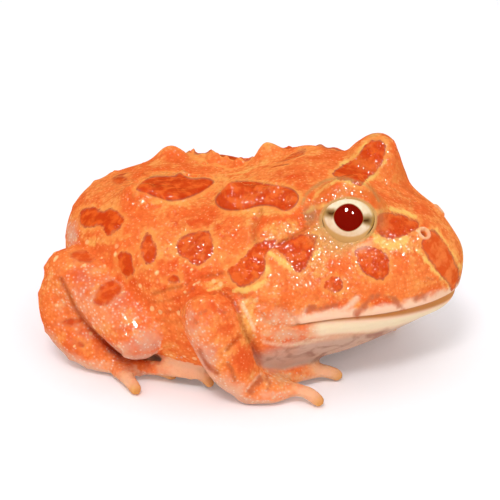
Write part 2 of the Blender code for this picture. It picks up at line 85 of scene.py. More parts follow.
# Low swellings: place, size along x, y and z, and height
SWELLINGS = (
    ("loin wart", (-19.3, 8.6, 28.0), (2.8, 1.9, 3.0), 2.5),
    ("loin ridge", (-13.6, 8.6, 28.2), (3.6, 1.7, 3.0), 0.8),
    ("shoulder wart", (-1.6, 9.2, 29.4), (2.4, 2.2, 3.0), 2.8),
    ("shoulder ridge", (4.4, 9.8, 30.8), (4.2, 2.4, 3.0), 1.2),
    ("nape", (11.5, 9.5, 31.6), (2.6, 3.2, 3.0), 0.6),
    ("brow ridge to the nostril", (25.0, 6.4, 29.0), (4.0, 1.8, 3.0), 0.6),
    ("jowl", (9.5, 20.0, 17.0), (4.0, 4.0, 4.0), 0.8),
    ("temple", (9.5, 14.0, 26.5), (3.2, 3.5, 2.6), 0.8),
)
MOUTH_HEIGHT, MOUTH_ARCH, MOUTH_CLIMB = 14.2, 0.5, 0.6
MOUTH_BACK, MOUTH_FRONT = 11.5, 33.0
EYE_CENTRE, EYE_RADIUS = np.array((17.1, 7.9, 28.3)), 5.2
GAZE = np.array((0.27, 0.87, 0.36)) / np.linalg.norm((0.27, 0.87, 0.36))
LID_RADIUS = 6.2
# The rim of an opening stands over the ball, and the skin inside it lies under the ball's face
RIM_OVER, SKIN_UNDER, BESIDE_GAZE = 0.22, 0.7, 1.9
HORN_HEIGHTS, HORN_SPREADS = {-1: 1.3, 1: 2.1}, {-1: 0.5, 1: 0.62}
HORN_LEAN = np.array((0.16, 0.12, 1.0)) / np.linalg.norm((0.16, 0.12, 1.0))
NOSTRIL, NOSTRIL_REACH = np.array((29.1, 5.0, 25.8)), 2.5
NOSTRIL_AXIS = np.array((0.30, 0.60, 0.75)) / np.linalg.norm((0.30, 0.60, 0.75))

# Limbs with y positive: points of the centre line, half width, and half height where it differs
LIMBS = {
    "forearm": (
        ((-2.0, 24.6, 19.6), 3.9), ((-1.0, 24.9, 15.8), 4.4), ((1.0, 24.5, 10.9), 4.3),
        ((2.7, 23.5, 6.6), 4.1), ((4.6, 22.4, 2.2), 3.6),
    ),
    "upper_arm": (
        ((11.5, 14.5, 9.8), 3.4), ((7.6, 18.6, 11.4), 4.0), ((2.0, 22.4, 14.6), 4.3),
        ((-1.8, 24.0, 17.4), 3.8),
    ),
    "hand": (
        ((2.4, 23.4, 2.8), 3.0, 2.6), ((5.4, 22.2, 2.5), 3.6, 2.7), ((8.8, 20.2, 2.0), 3.6, 2.1),
        ((11.2, 18.6, 1.8), 3.0, 1.6),
    ),
    "finger_1": (((6.4, 18.6, 1.7), 1.4), ((4.8, 14.6, 1.6), 1.2), ((4.0, 11.4, 0.8), 0.85)),
    "finger_2": (((8.8, 17.4, 1.7), 1.4), ((8.6, 12.8, 1.9), 1.2), ((10.2, 8.6, 0.8), 0.85)),
    "finger_3": (((9.8, 17.6, 2.1), 1.6), ((13.8, 13.0, 2.4), 1.3), ((17.6, 11.2, 0.8), 0.9)),
    "finger_4": (((10.0, 20.2, 2.0), 1.6), ((13.8, 20.4, 2.3), 1.25), ((17.2, 21.2, 0.8), 0.9)),
    "shank": (
        ((-10.3, 22.9, 6.9), 3.9), ((-14.4, 22.0, 9.6), 4.8), ((-21.6, 19.4, 13.4), 4.8),
        ((-27.4, 17.0, 15.4), 4.6), ((-32.2, 15.6, 15.0), 3.8),
    ),
    "thigh": (
        ((-29.0, 10.0, 13.0), 5.0), ((-23.0, 13.6, 12.0), 5.8), ((-16.0, 17.4, 10.4), 5.6),
        ((-10.0, 20.0, 8.4), 4.2),
    ),
    "foot": (
        ((-30.0, 17.0, 16.0), 3.2), ((-29.2, 18.0, 12.3), 3.9), ((-28.4, 18.6, 9.0), 4.1),
        ((-26.6, 19.0, 6.3), 4.1), ((-23.6, 19.6, 4.1), 3.7, 3.6), ((-20.6, 20.2, 2.5), 2.8, 2.4),
        ((-17.4, 20.9, 1.8), 2.0, 1.6),
    ),
    "toe_1": (((-20.4, 17.8, 1.5), 1.2), ((-18.4, 15.4, 1.3), 1.0), ((-17.2, 13.2, 0.8), 0.8)),
    "toe_2": (((-18.8, 18.8, 1.6), 1.3), ((-15.2, 16.8, 1.4), 1.05), ((-12.4, 15.0, 0.8), 0.8)),
    "toe_3": (((-17.8, 19.8, 1.6), 1.4), ((-12.8, 19.0, 1.3), 1.1), ((-8.3, 19.9, 0.8), 0.85)),
    "toe_4": (
        ((-17.4, 21.0, 1.8), 1.5), ((-12.4, 21.3, 2.7), 1.25), ((-7.6, 21.4, 2.9), 1.15),
        ((-3.7, 21.0, 2.7), 1.05), ((-1.4, 21.2, 0.8), 0.85),
    ),
    "toe_5": (((-18.6, 21.4, 1.7), 1.6), ((-15.4, 24.2, 1.8), 1.2), ((-12.5, 26.8, 0.8), 0.9)),
}
ARM = ("forearm", "upper_arm", "hand", "finger_1", "finger_2", "finger_3", "finger_4")
# The left hand rests further forward and nearer the chin
LEFT_HAND_STEP, LEFT_HAND_REACH = np.array((4.4, -3.0, 0.0)), 18.0
SIDES = {-1: "right", 1: "left"}

# The solids were centred over the origin after they were built, and the eyes show by how much
EYE_BOXES = [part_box(f"eye_{word}") for word in SIDES.values()]
SHIFT = np.mean([(np.array(low) + np.array(high)) / 2 for low, high in EYE_BOXES], 0) / MM
SHIFT -= EYE_CENTRE * (1, 0, 1)

# The photograph's camera
TURN, TILT = math.radians(18.0), math.radians(25.0)
CAMERA_DISTANCE, MM_PER_PIXEL = 380.0, 0.172
FRAME_PIXELS, ORIGIN_PIXEL = 500, (261.4, 336.5)
BACKWARD = np.array((math.sin(TURN) * math.cos(TILT), -math.cos(TURN) * math.cos(TILT), math.sin(TILT)))
RIGHTWARD = np.array((math.cos(TURN), math.sin(TURN), 0.0))
UPWARD = np.array((-math.sin(TURN) * math.sin(TILT), math.cos(TURN) * math.sin(TILT), math.cos(TILT)))
MIDDLE = FRAME_PIXELS / 2
AIM = (RIGHTWARD * (MIDDLE - ORIGIN_PIXEL[0]) + UPWARD * (ORIGIN_PIXEL[1] - MIDDLE)) * MM_PER_PIXEL
CAMERA_PLACE = AIM + BACKWARD * CAMERA_DISTANCE

# Red patches: zone, depth of colour, crispness, outline, and whether it lies only where it is seen
PATCHES = {
    "loin leaf": ("body", 0.9, 1.0, (
        (136, 189), (145, 180), (156, 176), (173, 176), (180, 173), (190, 178), (206, 178), (214, 182),
        (203, 191), (190, 197), (172, 201), (156, 197), (146, 193),
    )),
    "shoulder bean": ("body", 0.85, 1.0, (
        (215, 199), (222, 190), (231, 182), (249, 181), (268, 184), (287, 187), (297, 193), (298, 202),
        (287, 211), (272, 206), (259, 206), (243, 210), (227, 210), (218, 206),
    )),
    "flank diamond": ("body", 0.8, 0.9, (
        (177, 246), (179, 239), (191, 233), (204, 230), (211, 234), (213, 244), (210, 257), (198, 266),
        (188, 261), (180, 256),
    )),
    "flank drop": ("body", 0.85, 0.7, (
        (148, 232), (153, 240), (157, 248), (156, 258), (151, 264), (144, 261), (140, 250), (143, 239),
    )),
    "hip spot": ("body", 0.9, 0.7, (
        (117, 261), (119, 254), (125, 251), (130, 254), (133, 262), (134, 272), (128, 278), (120, 271),
    )),
    "rump": ("body", 1.0, 0.7, (
        (78, 219), (82, 210), (93, 207), (103, 211), (112, 208), (123, 217), (121, 227), (108, 236),
        (101, 226), (90, 228), (81, 226),
    )),
    "low flank spot": ("body", 0.9, 0.6, ((167, 279), (173, 274), (179, 277), (178, 283), (171, 284))),
    "spine spot": ("body", 0.8, 0.6, (
        (261, 164), (269, 161), (279, 161), (284, 164), (275, 167), (266, 168),
    )),
    "rump ridge": ("body", 0.8, 0.4, (
        (112, 180), (116, 176), (124, 176), (128, 180), (120, 184), (114, 184),
    )),
    "shoulder": ("body", 0.85, 0.8, (
        (227, 270), (236, 263), (243, 257), (250, 250), (257, 244), (266, 240), (277, 240), (272, 247),
        (267, 254), (266, 264), (264, 274), (257, 280), (249, 285), (240, 287), (231, 281),
    )),
    "behind the eye": ("body", 0.85, 0.7, (
        (279, 243), (291, 239), (304, 233), (314, 230), (320, 236), (316, 246), (311, 256), (306, 267),
        (298, 272), (290, 264), (281, 254), (270, 247),
    )),
    "before the eye": ("body", 0.8, 0.9, (
        (375, 224), (378, 215), (389, 212), (400, 214), (411, 218), (419, 222), (418, 228), (411, 233),
        (401, 237), (390, 239), (381, 236), (375, 230),
    )),
    "cheek": ("body", 0.85, 0.9, (
        (355, 254), (358, 248), (365, 246), (374, 247), (382, 250), (388, 257), (390, 266), (388, 275),
        (383, 280), (375, 279), (367, 275), (360, 268),
    )),
    "cheek dot": ("body", 0.6, 0.8, (
        (324, 286), (327, 280), (334, 276), (341, 279), (344, 285), (340, 291), (330, 292),
    )),
    "snout stripe": ("body", 0.4, 0.9, (
        (422, 247), (424, 238), (429, 231), (436, 232), (446, 244), (454, 258), (459, 271), (458, 283),
        (453, 291), (448, 285), (440, 275), (430, 262),
    )),
    "bar between the eyes": ("body", 0.9, 1.0, (
        (332, 174), (339, 167), (350, 162), (358, 155), (364, 146), (374, 140), (383, 142), (386, 151),
        (382, 163), (376, 171), (368, 178), (361, 186), (355, 184), (348, 180), (339, 180),
    ), "seen"),
    "shank top": ("leg", 0.55, 0.3, (
        (70, 256), (73, 252), (82, 250), (92, 251), (101, 256), (106, 261), (94, 260), (80, 262),
    )),
    "shank": ("leg", 0.8, 0.3, (
        (93, 302), (96, 292), (102, 285), (111, 280), (119, 281), (122, 288), (116, 298), (107, 304),
        (98, 306),
    )),
    "foot band": ("leg", 0.6, 0.3, ((61, 323), (69, 319), (80, 318), (83, 321), (74, 325), (65, 326))),
    "low foot band": ("leg", 0.4, 0.3, ((75, 342), (81, 343), (84, 346), (78, 346))),
}

# Strokes of colour: zone, stroke and half width in pixels, and whether it lies only where it is seen
LINES = {
    "yellow": (
        ("body", ((269, 253), (277, 257), (284, 262), (291, 269)), 1.8),
        ("body", ((417, 249), (424, 257), (434, 270), (443, 279), (449, 286), (450, 289)), 1.2),
        ("body", ((437, 229), (444, 239), (451, 251), (459, 266), (461, 271)), 0.4),
        ("body", ((341, 164), (350, 159), (359, 153), (366, 144)), 1.2, "seen"),
        ("body", ((364, 183), (373, 176), (381, 167), (385, 161)), 1.4, "seen"),
        ("body", ((378, 212), (386, 209), (396, 210), (407, 213), (414, 217)), 1.2),
        ("body", ((373, 234), (381, 241), (389, 246), (397, 244), (405, 239)), 3.4),
        ("body", ((326, 236), (321, 246), (315, 257)), 1.3),
        ("body", ((223, 290), (240, 290), (256, 287), (265, 279), (267, 266)), 1.4),
        ("body", ((324, 205), (316, 207), (308, 212)), 1.6),
        ("body", ((313, 200), (320, 191), (330, 184), (341, 179), (350, 182)), 0.5),
        ("body", ((208, 290), (222, 288), (230, 290), (243, 291)), 1.0),
    ),
    "cream_and_highlight": (
        # A pale crease at the wrist: partly pale skin, partly painted highlight along it
        ("arm", ((246, 391), (252, 383), (261, 374)), 0.1),
        ("body", ((302, 320), (304, 313), (306, 309)), 0.9),
        ("any", ((242, 304), (247, 313), (251, 322), (255, 330)), 0.5),
        ("any", ((264, 342), (284, 345), (306, 342), (328, 337)), 0.7),
        ("body", ((338, 312), (346, 308), (352, 303), (357, 298)), 2.0),
        ("body", ((430, 299), (440, 296), (450, 293)), 1.2),
    ),
    "mauve": (
        ("body", ((308, 311), (311, 308), (313, 308)), 3.8),
        ("body", ((310, 311), (318, 309), (327, 307), (336, 305)), 1.8),
        ("body", ((357, 315), (361, 310), (365, 306)), 3.4),
        ("body", ((362, 309), (369, 301), (378, 295)), 2.2),
        ("body", ((386, 296), (393, 299)), 1.4),
        ("body", ((394, 300), (402, 308)), 2.8),
        ("body", ((417, 298), (424, 296)), 3.6),
        ("body", ((427, 279), (440, 279)), 0.7),
        ("arm", ((200, 351), (205, 361), (211, 369), (217, 373)), 1.8),
        ("arm", ((199, 314), (206, 311)), 1.0),
        ("arm", ((217, 309), (224, 313)), 1.2),
        ("arm", ((250, 392), (255, 385), (262, 379)), 3.0),
        ("arm", ((266, 377), (269, 383), (267, 389)), 1.6),
        ("arm", ((228, 363), (232, 371), (235, 380)), 1.4),
        ("arm", ((192, 317), (196, 322)), 1.6),
        ("leg", ((61, 323), (70, 321), (80, 320)), 1.4),
        ("leg", ((74, 343), (83, 345)), 1.1),
        ("leg", ((70, 254), (78, 259), (90, 262)), 1.0),
        ("leg", ((94, 300), (104, 305), (114, 299)), 0.9),
        ("leg", ((80, 312), (86, 320), (92, 328)), 0.9),
    ),
    "tan": (
        ("body", ((302, 204), (307, 194), (316, 186), (328, 180), (342, 178), (352, 180)), 1.5),
        ("body", ((352, 180), (364, 184), (373, 191), (379, 201)), 0.9),
    ),
}
# Folds: zone, stroke, width in pixels, depth in millimetres, and how dark the painted shade along them is
FOLDS_WITH_SHADE = (
    ("body", ((313, 215), (309, 224), (302, 232), (290, 238), (281, 243)), 2.0, 0.7, 0.6),
    ("body", ((260, 212), (256, 221), (253, 231), (255, 242)), 3.2, 0.8, 0.4),
    ("body", ((256, 303), (271, 304), (284, 309), (292, 316), (298, 324)), 1.8, 0.3, 0.15),
    ("body", ((249, 306), (255, 322), (264, 334), (280, 340)), 1.6, 0.35, 0.2),
    ("body", ((210, 296), (222, 290), (236, 292), (246, 298)), 1.5, 0.35, 0.4),
    ("body", ((153, 294), (170, 289), (187, 285), (205, 277), (222, 273)), 1.9, 0.3, 0.5),
    ("body", ((150, 302), (165, 301), (180, 297), (194, 289)), 1.9, 0.18, 0.25),
    ("body", ((157, 312), (172, 312), (184, 309), (193, 303)), 1.9, 0.18, 0.25),
    ("body", ((163, 321), (175, 322), (186, 318), (192, 310)), 1.9, 0.18, 0.25),
    ("body", ((226, 290), (236, 298), (244, 309), (249, 322)), 1.6, 0.35, 0.35),
    ("body", ((232, 300), (240, 309), (246, 322), (250, 334)), 1.5, 0.35, 0.35),
    ("body", ((232, 312), (240, 322), (247, 336)), 1.5, 0.35, 0.3),
    ("body", ((240, 291), (252, 300), (262, 314), (270, 328)), 1.8, 0.2, 0.15),
    ("body", ((250, 336), (276, 343), (303, 341), (343, 335), (373, 335), (387, 329)), 1.8, 0.25, 0.12),
    (
        "leg",
        ((61, 279), (68, 292), (75, 307), (84, 321), (95, 333), (109, 346), (120, 354)), 2.4, 0.3, 0.75,
    ),
    ("any", ((222, 293), (231, 299), (238, 311), (244, 330), (252, 346), (260, 364)), 2.2, 0.8, 0.5),
    # Painted shadow beside the arm, with no depth of its own
    ("any", ((250, 336), (254, 346), (260, 356)), 4.0, 0.0, 0.5),
    ("arm", ((227, 349), (233, 343), (240, 336)), 2.2, 0.2, 0.6),
    ("arm", ((201, 353), (207, 365), (217, 373)), 2.2, 0.0, 0.4),
    ("arm", ((229, 365), (234, 379)), 2.0, 0.0, 0.35),
    ("arm", ((247, 391), (254, 384), (260, 376)), 1.0, 0.12, 0.5),
    ("body", ((378, 180), (388, 187), (398, 196), (412, 206)), 2.2, 0.3, 0.2),
    ("body", ((392, 190), (402, 196), (410, 200)), 1.4, 0.25, 0.25),
)
# Swellings placed by pixel: centre, size and height
PIXEL_SWELLINGS = (
    ((279, 222), (16, 11), 1.0),
    ((266, 314), (14, 14), 0.6),
    ((300, 250), (18, 14), 0.35),
    ((278, 297), (18, 6), 0.35),
    ((232, 262), (14, 14), 0.3),
)
# Soft tints of colour: zone, centre, size and strength
TINTS = {
    "pale": (
        ("leg", (100, 300), (60, 60), 0.4), ("leg", (147, 342), (19, 17), 0.75),
        ("leg", (124, 350), (20, 12), 0.65), ("leg", (50, 340), (9, 16), 0.45),
        ("leg", (84, 366), (34, 8), 0.7), ("arm", (190, 325), (7, 26), 0.5),
        ("arm", (204, 366), (14, 26), 0.9), ("arm", (226, 397), (22, 10), 0.8),
        ("arm", (272, 396), (24, 7), 0.6), ("arm", (282, 378), (30, 12), 0.45),
        ("arm", (196, 342), (16, 30), 0.5), ("arm", (222, 352), (14, 20), 0.3),
        ("any", (247, 322), (8, 22), 0.2), ("any", (280, 318), (30, 14), 0.5),
        ("any", (290, 334), (36, 9), 0.6), ("body", (72, 235), (8, 16), 0.7),
    ),
    "red": (
        ("leg", (78, 276), (16, 9), 0.7), ("leg", (108, 290), (20, 10), 0.6),
        ("leg", (107, 346), (10, 9), 0.6), ("arm", (282, 378), (30, 12), 0.1),
        ("arm", (214, 312), (20, 12), 0.5), ("arm", (232, 332), (14, 16), 0.5),
        ("arm", (246, 360), (12, 18), 0.9), ("body", (384, 301), (12, 5), 0.8),
        ("body", (202, 222), (34, 12), 0.5), ("body", (228, 230), (12, 12), 0.4),
        ("body", (165, 275), (50, 14), 0.6), ("body", (190, 300), (40, 14), 0.5),
        ("body", (250, 160), (20, 5), 0.5), ("body", (290, 176), (24, 6), 0.45),
        ("body", (303, 226), (8, 14), 0.5), ("body", (92, 200), (18, 10), 0.4),
        ("body", (372, 196), (10, 8), 0.5), ("body", (415, 205), (14, 8), 0.3),
    ),
    "gold": (
        ("leg", (48, 285), (12, 26), 0.25), ("leg", (122, 262), (12, 12), 0.3),
        ("leg", (60, 300), (10, 16), 0.2), ("leg", (92, 272), (12, 8), 0.15),
        ("arm", (282, 378), (30, 12), 0.5), ("body", (258, 212), (30, 6), 0.6),
        ("body", (172, 201), (30, 5), 0.55), ("body", (282, 228), (18, 10), 0.5),
        ("body", (230, 168), (22, 6), 0.4), ("body", (345, 152), (10, 7), 0.5),
        ("body", (388, 172), (9, 12), 0.5), ("body", (402, 246), (20, 9), 0.6),
        ("body", (216, 284), (16, 6), 0.5), ("any", (247, 322), (8, 22), 1.0),
        ("any", (280, 318), (30, 14), 0.2), ("any", (290, 334), (36, 9), 0.3),
        ("body", (318, 268), (10, 14), 0.4), ("body", (95, 240), (20, 6), 0.5),
    ),
}
# Where slime stands in drops that glint: centre, size and amount
WET = (
    ((155, 186), (40, 14), 1.0), ((245, 197), (50, 17), 1.0), ((362, 156), (26, 26), 1.0),
    ((205, 222), (40, 14), 0.5), ((285, 238), (30, 18), 0.9), ((315, 268), (36, 32), 1.0),
    ((335, 298), (22, 9), 1.0), ((400, 250), (28, 20), 0.8), ((342, 196), (22, 12), 0.9),
    ((193, 246), (24, 20), 0.8), ((200, 312), (18, 16), 0.8), ((250, 310), (24, 14), 0.8),
    ((132, 322), (26, 18), 0.4), ((300, 384), (34, 14), 0.5),
)
# How far apart two parts are eased into each other, in millimetres
JOIN_WIDTHS = {
    "trunk": 1.4, "lid": 2.6, "forearm": 0.9, "upper_arm": 1.2, "hand": 1.5, "thigh": 1.2, "shank": 0.8,
    "foot": 1.0,
}
DIGIT_JOIN = 1.2
# Depth to which the mouth's recess reaches at the front, in millimetres below the mouth line
RECESS = 1.8
# Heights, centres above the mouth line and widths of the two lips
UPPER_LIP, LOWER_LIP = (0.42, 0.8, 0.7), (0.2, -1.3, 1.0)
# Raised plates of the loin and shoulder: height, points along the crest, and those points' least and most
PLATES = {"loin leaf": (0.75, 9, 0.45, 0.95), "shoulder bean": (0.6, 9, 0.3, 0.6)}
RAISED = ("flank diamond", "flank drop", "rump", "shoulder", "behind the eye", "before the eye", "cheek")
RAISED_HEIGHT = 0.14
# Rings and sides of the surfaces, and points along a limb where distances are measured
TRUNK_GRID, LIMB_GRID, DIGIT_GRID, LID_GRID, EYE_GRID = (150, 150), (44, 36), (30, 20), (30, 40), (72, 96)
LIMB_BALLS, LIMB_REACH = 26, 7
# Rounds of easing: over the steps of the first mesh, where parts meet, and about the lids
STEP_ROUNDS, STEP_WEIGHTS, JOIN_ROUNDS, LID_ROUNDS, EASE = 6, (0.5, -0.52), 36, 40, 0.6
# Distances that stand for far away, how far round a mark its points are looked for, and the lowest of
# the marks that lie only where they are seen
FAR, FAR_PIXELS, MARK_REACH, SEEN_MARKS_ABOVE = 9.0, 99.0, 26, 27.0
# Distances from marks are stored up to this many millimetres
MARK_LIMIT = 4
# The left side's marks of the back lie this many pixels lower than the right side's
LEFT_MARKS_LOWER = 19.0
WARTS, LID_WARTS, CREST_CORNERS, SEED = 330, 60, 8, 7
# Lamps: the pixel of each one's glint in the right eye, its size, and its shares of light and sparkle
LAMP_DISTANCE = 1.2
LAMPS = (
    ("key_softbox", (346.4, 208.9), 0.145, 1.0, 18.0),
    ("small_softbox", (353.0, 212.4), 0.08, 0.15, 2.5),
)
# How much wider a soft light is than its flash tube, which stands this share of the way nearer
SOFTER, FLASH_BEFORE = 2, 0.01
OVERHEAD = (-0.1, 0.0, 1.4), 2.0, 1.2
FROG_MIDDLE = (0.0, 0.0, 0.015)
# Eye opening, its corners with the weights of their painted shade, and pupil, as angles forward and up from
# the gaze
EYE_MIDDLE, EYE_SPAN = (0.0, -0.09), (0.97, 0.72, 0.82)
EYE_CORNERS = ((-1.12, 1.0), (1.12, 0.6))
PUPIL_MIDDLE, PUPIL, PUPIL_TURN = (-0.01, 0.02), (0.46, 0.43), 0.14


def linear(code):
    """A linear colour from an sRGB hex value, by the sRGB curve."""
    parts = [int(code[i : i + 2], 16) / 255 for i in (1, 3, 5)]
    return np.array([p / 12.92 if p <= 0.04045 else ((p + 0.055) / 1.055) ** 2.4 for p in parts])


def colour_property(name, description, code):
    """A colour setting whose default is an sRGB hex value."""
    default = tuple(float(part) for part in linear(code))
    return FloatVectorProperty(
        name=name, description=description, default=default, size=3, min=0, max=1, subtype="COLOR"
    )


def length_property(name, description, mm, least=0.1, most=10.0):
    """A length setting whose default and limits are given in millimetres."""
    return FloatProperty(
        name=name, description=description, default=mm * MM, min=least * MM, max=most * MM,
        unit="LENGTH", precision=5,
    )


class FrogSkin(bpy.types.PropertyGroup):
    """Sizes and colours of the skin."""

    voxel: length_property("Mesh size", "Width of one face before the details are refined", 0.45, 0.3, 1.0)
    granules: length_property("Granule width", "Distance from one fine granule to the next", 0.62)
    warts: length_property("Wart spacing", "Distance from one pale bead of the flank to the next", 2.4)
    drops: length_property("Drops", "Distance between the drops of slime", 0.75)
    orange: colour_property("Orange", "Colour of most of the skin", "#ec6a30")
    amber: colour_property("Amber", "Lighter clouds of the skin", "#f98945")
    wine: colour_property("Dark red", "Deepest colour of the patches", "#cb3f12")
    flesh: colour_property("Flesh", "Pale skin of knees, elbows and undersides", "#dd9f84")
    ivory: colour_property("Ivory", "Lips", "#f0dcb8")


class FrogEyes(bpy.types.PropertyGroup):
    """Colours of the eyes."""

    iris: colour_property("Iris", "Cream of the iris", "#f1d9b4")
    pupil: colour_property("Pupil", "Deep red of the pupil", "#7b0f05")


class FrogStage(bpy.types.PropertyGroup):
    """Sizes of the studio."""

    floor: FloatProperty(
        name="Floor width", description="Width of the pale floor", default=3.0, unit="LENGTH"
    )
    light: FloatProperty(
        name="Key light", description="Power of the large soft light", default=5.3, unit="POWER"
    )


def smooth(low, high, x):
    """0 below low, 1 above high, and an S curve between."""
    t = np.clip((x - low) / (high - low), 0, 1)
    return t * t * (3 - 2 * t)


def through(rows, count, ghosts=None):
    """Catmull-Rom curve through the rows, at count even steps of their index."""
    rows = np.asarray(rows, float)
    first, last = ghosts if ghosts else (2 * rows[0] - rows[1], 2 * rows[-1] - rows[-2])
    padded = np.vstack([first, rows, last])
    at = np.linspace(0, len(rows) - 1, count)
    k = np.minimum(at.astype(int), len(rows) - 2)
    t = (at - k)[:, None]
    a, b, c, d = (padded[k + i] for i in range(4))
    return 0.5 * (2 * b + (c - a) * t + (2 * a - 5 * b + 4 * c - d) * t**2 + (3 * b - a - 3 * c + d) * t**3)


def trunk_profile():
    """The trunk's sizes as smooth functions of x: many rows along the curve through the stations."""
    rows = np.array(STATIONS)
    ghosts = []
    for x, half, back, under, beam, up, low in (rows[1], rows[-2]):
        ghosts.append(np.array([x, -half, under, back, beam, up, low]))
    return through(rows, 600, ghosts)


PROFILE = trunk_profile()


def mouth_share(x):
    """How far along the mouth x lies: 0 at its corner, 1 at its front."""
    return np.clip((x - MOUTH_BACK) / (MOUTH_FRONT - MOUTH_BACK), 0, 1)


def mouth_height(x):
    """Height of the mouth line: a low arch that climbs towards the front."""
    share = mouth_share(x)
    return MOUTH_HEIGHT + MOUTH_CLIMB * share**3 + MOUTH_ARCH * np.sin(math.pi * share)


def trunk_surface(rings, sides):
    """Superellipses across the body at even steps of length: y = half |cos|^p, z = beam + rise |sin|^p."""
    length = np.hypot(np.hypot(np.diff(PROFILE[:, 0]), np.diff(PROFILE[:, 1])), np.diff(PROFILE[:, 2]))
    length = np.concatenate([[0], np.cumsum(length)])
    even = np.linspace(0, length[-1], rings + 2)[1:-1]
    columns = [np.interp(even, length, PROFILE[:, c])[:, None] for c in range(7)]
    x, half, back, under, beam, up, low = columns
    v = np.linspace(0, 2 * math.pi, sides, endpoint=False)[None, :]
    power = np.where(np.sin(v) >= 0, 2 / up, 2 / low)
    y = half * np.sign(np.cos(v)) * np.abs(np.cos(v)) ** power
    rise = np.abs(np.sin(v)) ** power
    z = np.where(np.sin(v) >= 0, beam + (back - beam) * rise, beam - (beam - under) * rise)
    return np.stack([x + 0 * y, y, z], -1)


def limb_rows(name, side):
    """Centre line and half sizes of one limb: mirrored to its side, and the left hand stepped forward."""
    rows = np.array([(*row[0], row[1], row[-1]) for row in LIMBS[name]], float)
    if side > 0 and name in ARM:
        rows[:, :3] += LEFT_HAND_STEP * np.clip(1 - rows[:, 2:3] / LEFT_HAND_REACH, 0, None)
    rows[:, 1] *= side
    return rows


def limb_surface(rows, rings, sides):
    """Ellipses carried along the curve through the rows, closing to round ends, level with the ground."""
    fine = through(rows, 240)
    length = np.concatenate([[0], np.cumsum(np.linalg.norm(np.diff(fine[:, :3], axis=0), axis=1))])
    share = 0.5 - 0.5 * np.cos(np.linspace(0.03, 0.97, rings) * math.pi)
    at = share * length[-1]
    centre = np.stack([np.interp(at, length, fine[:, c]) for c in range(3)], -1)
    wide, high = (np.interp(at, length, fine[:, c]) for c in (3, 4))
    cap = np.where(share < 0.5, rows[0, 3:].min(), rows[-1, 3:].min())
    close = np.sqrt(1 - (1 - np.clip(np.minimum(at, length[-1] - at) / cap, 0, 1)) ** 2)
    tangent = np.gradient(centre, axis=0)
    tangent /= np.linalg.norm(tangent, axis=1, keepdims=True)
    level = np.cross(centre[-1] - centre[0], (0.0, 0.0, 1.0))
    across = level - tangent * (tangent @ level)[:, None]
    across /= np.linalg.norm(across, axis=1, keepdims=True)
    above = np.cross(across, tangent)
    v = np.linspace(0, 2 * math.pi, sides, endpoint=False)[None, :, None]
    return (
        centre[:, None]
        + across[:, None] * np.cos(v) * (wide * close)[:, None, None]
        + above[:, None] * np.sin(v) * (high * close)[:, None, None]
    )


def lid_surface(side, rings, sides):
    """A sphere about the eye whose radius swells by a Gaussian of the angle from the horn's axis."""
    u = np.linspace(0, math.pi, rings + 2)[1:-1, None]
    v = np.linspace(0, 2 * math.pi, sides, endpoint=False)[None, :]
    way = np.stack([np.sin(u) * np.cos(v), np.sin(u) * np.sin(v), np.cos(u) + 0 * v], -1)
    angle = np.arccos(np.clip(way @ (HORN_LEAN * (1, side, 1)), -1, 1))
    radius = LID_RADIUS + HORN_HEIGHTS[side] * np.exp(-((angle / HORN_SPREADS[side]) ** 2))
    return way * radius[..., None] + EYE_CENTRE * (1, side, 1)


def closed_faces(rings, sides, first):
    """Quads between the rings of a grid and triangles to a point at each end, numbered from first."""
    i, j = np.meshgrid(np.arange(rings - 1), np.arange(sides), indexing="ij")
    right = (j + 1) % sides
    quads = np.stack([i * sides + j, i * sides + right, (i + 1) * sides + right, (i + 1) * sides + j], -1)
    side = np.arange(sides)
    after = (side + 1) % sides
    back = (rings - 1) * sides
    start = np.stack([np.full(sides, rings * sides), after, side], -1)
    end = np.stack([np.full(sides, rings * sides + 1), back + side, back + after], -1)
    return quads.reshape(-1, 4) + first, np.vstack([start, end]) + first


def mesh_from(name, points, faces):
    """A mesh from an array of points and arrays of faces, with its faces turned outwards."""
    mesh = bpy.data.meshes.new(name)
    mesh.from_pydata(points, [], [tuple(face) for part in faces for face in part.tolist()])
    solid = bmesh.new()
    solid.from_mesh(mesh)
    bmesh.ops.recalc_face_normals(solid, faces=solid.faces)
    solid.to_mesh(mesh)
    solid.free()
    return mesh


def closed_mesh(name, grids):
    """One mesh of several grids of rings, each closed to the mean of its end rings."""
    points, faces, first = [], [], 0
    for grid in grids:
        rings, sides = grid.shape[:2]
        faces += closed_faces(rings, sides, first)
        points += [grid.reshape(-1, 3), grid[0].mean(0)[None], grid[-1].mean(0)[None]]
        first += rings * sides + 2
    return mesh_from(name, np.vstack(points), faces)


def read_points(mesh):
    """Vertex places as an array."""
    points = np.empty(len(mesh.vertices) * 3, np.float32)
    mesh.vertices.foreach_get("co", points)
    return points.reshape(-1, 3).astype(float)


def write_points(mesh, points):
    """Puts an array of places into the mesh."""
    mesh.vertices.foreach_set("co", points.astype(np.float32).ravel())
    mesh.update()


def read_normals(mesh):
    """Vertex normals as an array."""
    normals = np.empty(len(mesh.vertices) * 3, np.float32)
    mesh.vertex_normals.foreach_get("vector", normals)
    return normals.reshape(-1, 3).astype(float)


def read_edges(mesh):
    """Vertex pairs of the edges as an array."""
    edges = np.empty(len(mesh.edges) * 2, np.int32)
    mesh.edges.foreach_get("vertices", edges)
    return edges.reshape(-1, 2)


def relaxed(points, edges, weight, rounds):
    """Moves each point towards the mean of its neighbours by its weight, or by two weights in turn."""
    a, b = edges[:, 0], edges[:, 1]
    count = len(points)
    degree = np.bincount(a, minlength=count) + np.bincount(b, minlength=count)
    for n in range(rounds):
        total = [
            np.bincount(a, column[b], minlength=count) + np.bincount(b, column[a], minlength=count)
            for column in points.T
        ]
        step = np.stack(total, -1) / degree[:, None] - points
        points = points + step * (weight[n % 2] if isinstance(weight, tuple) else weight[:, None])
    return points


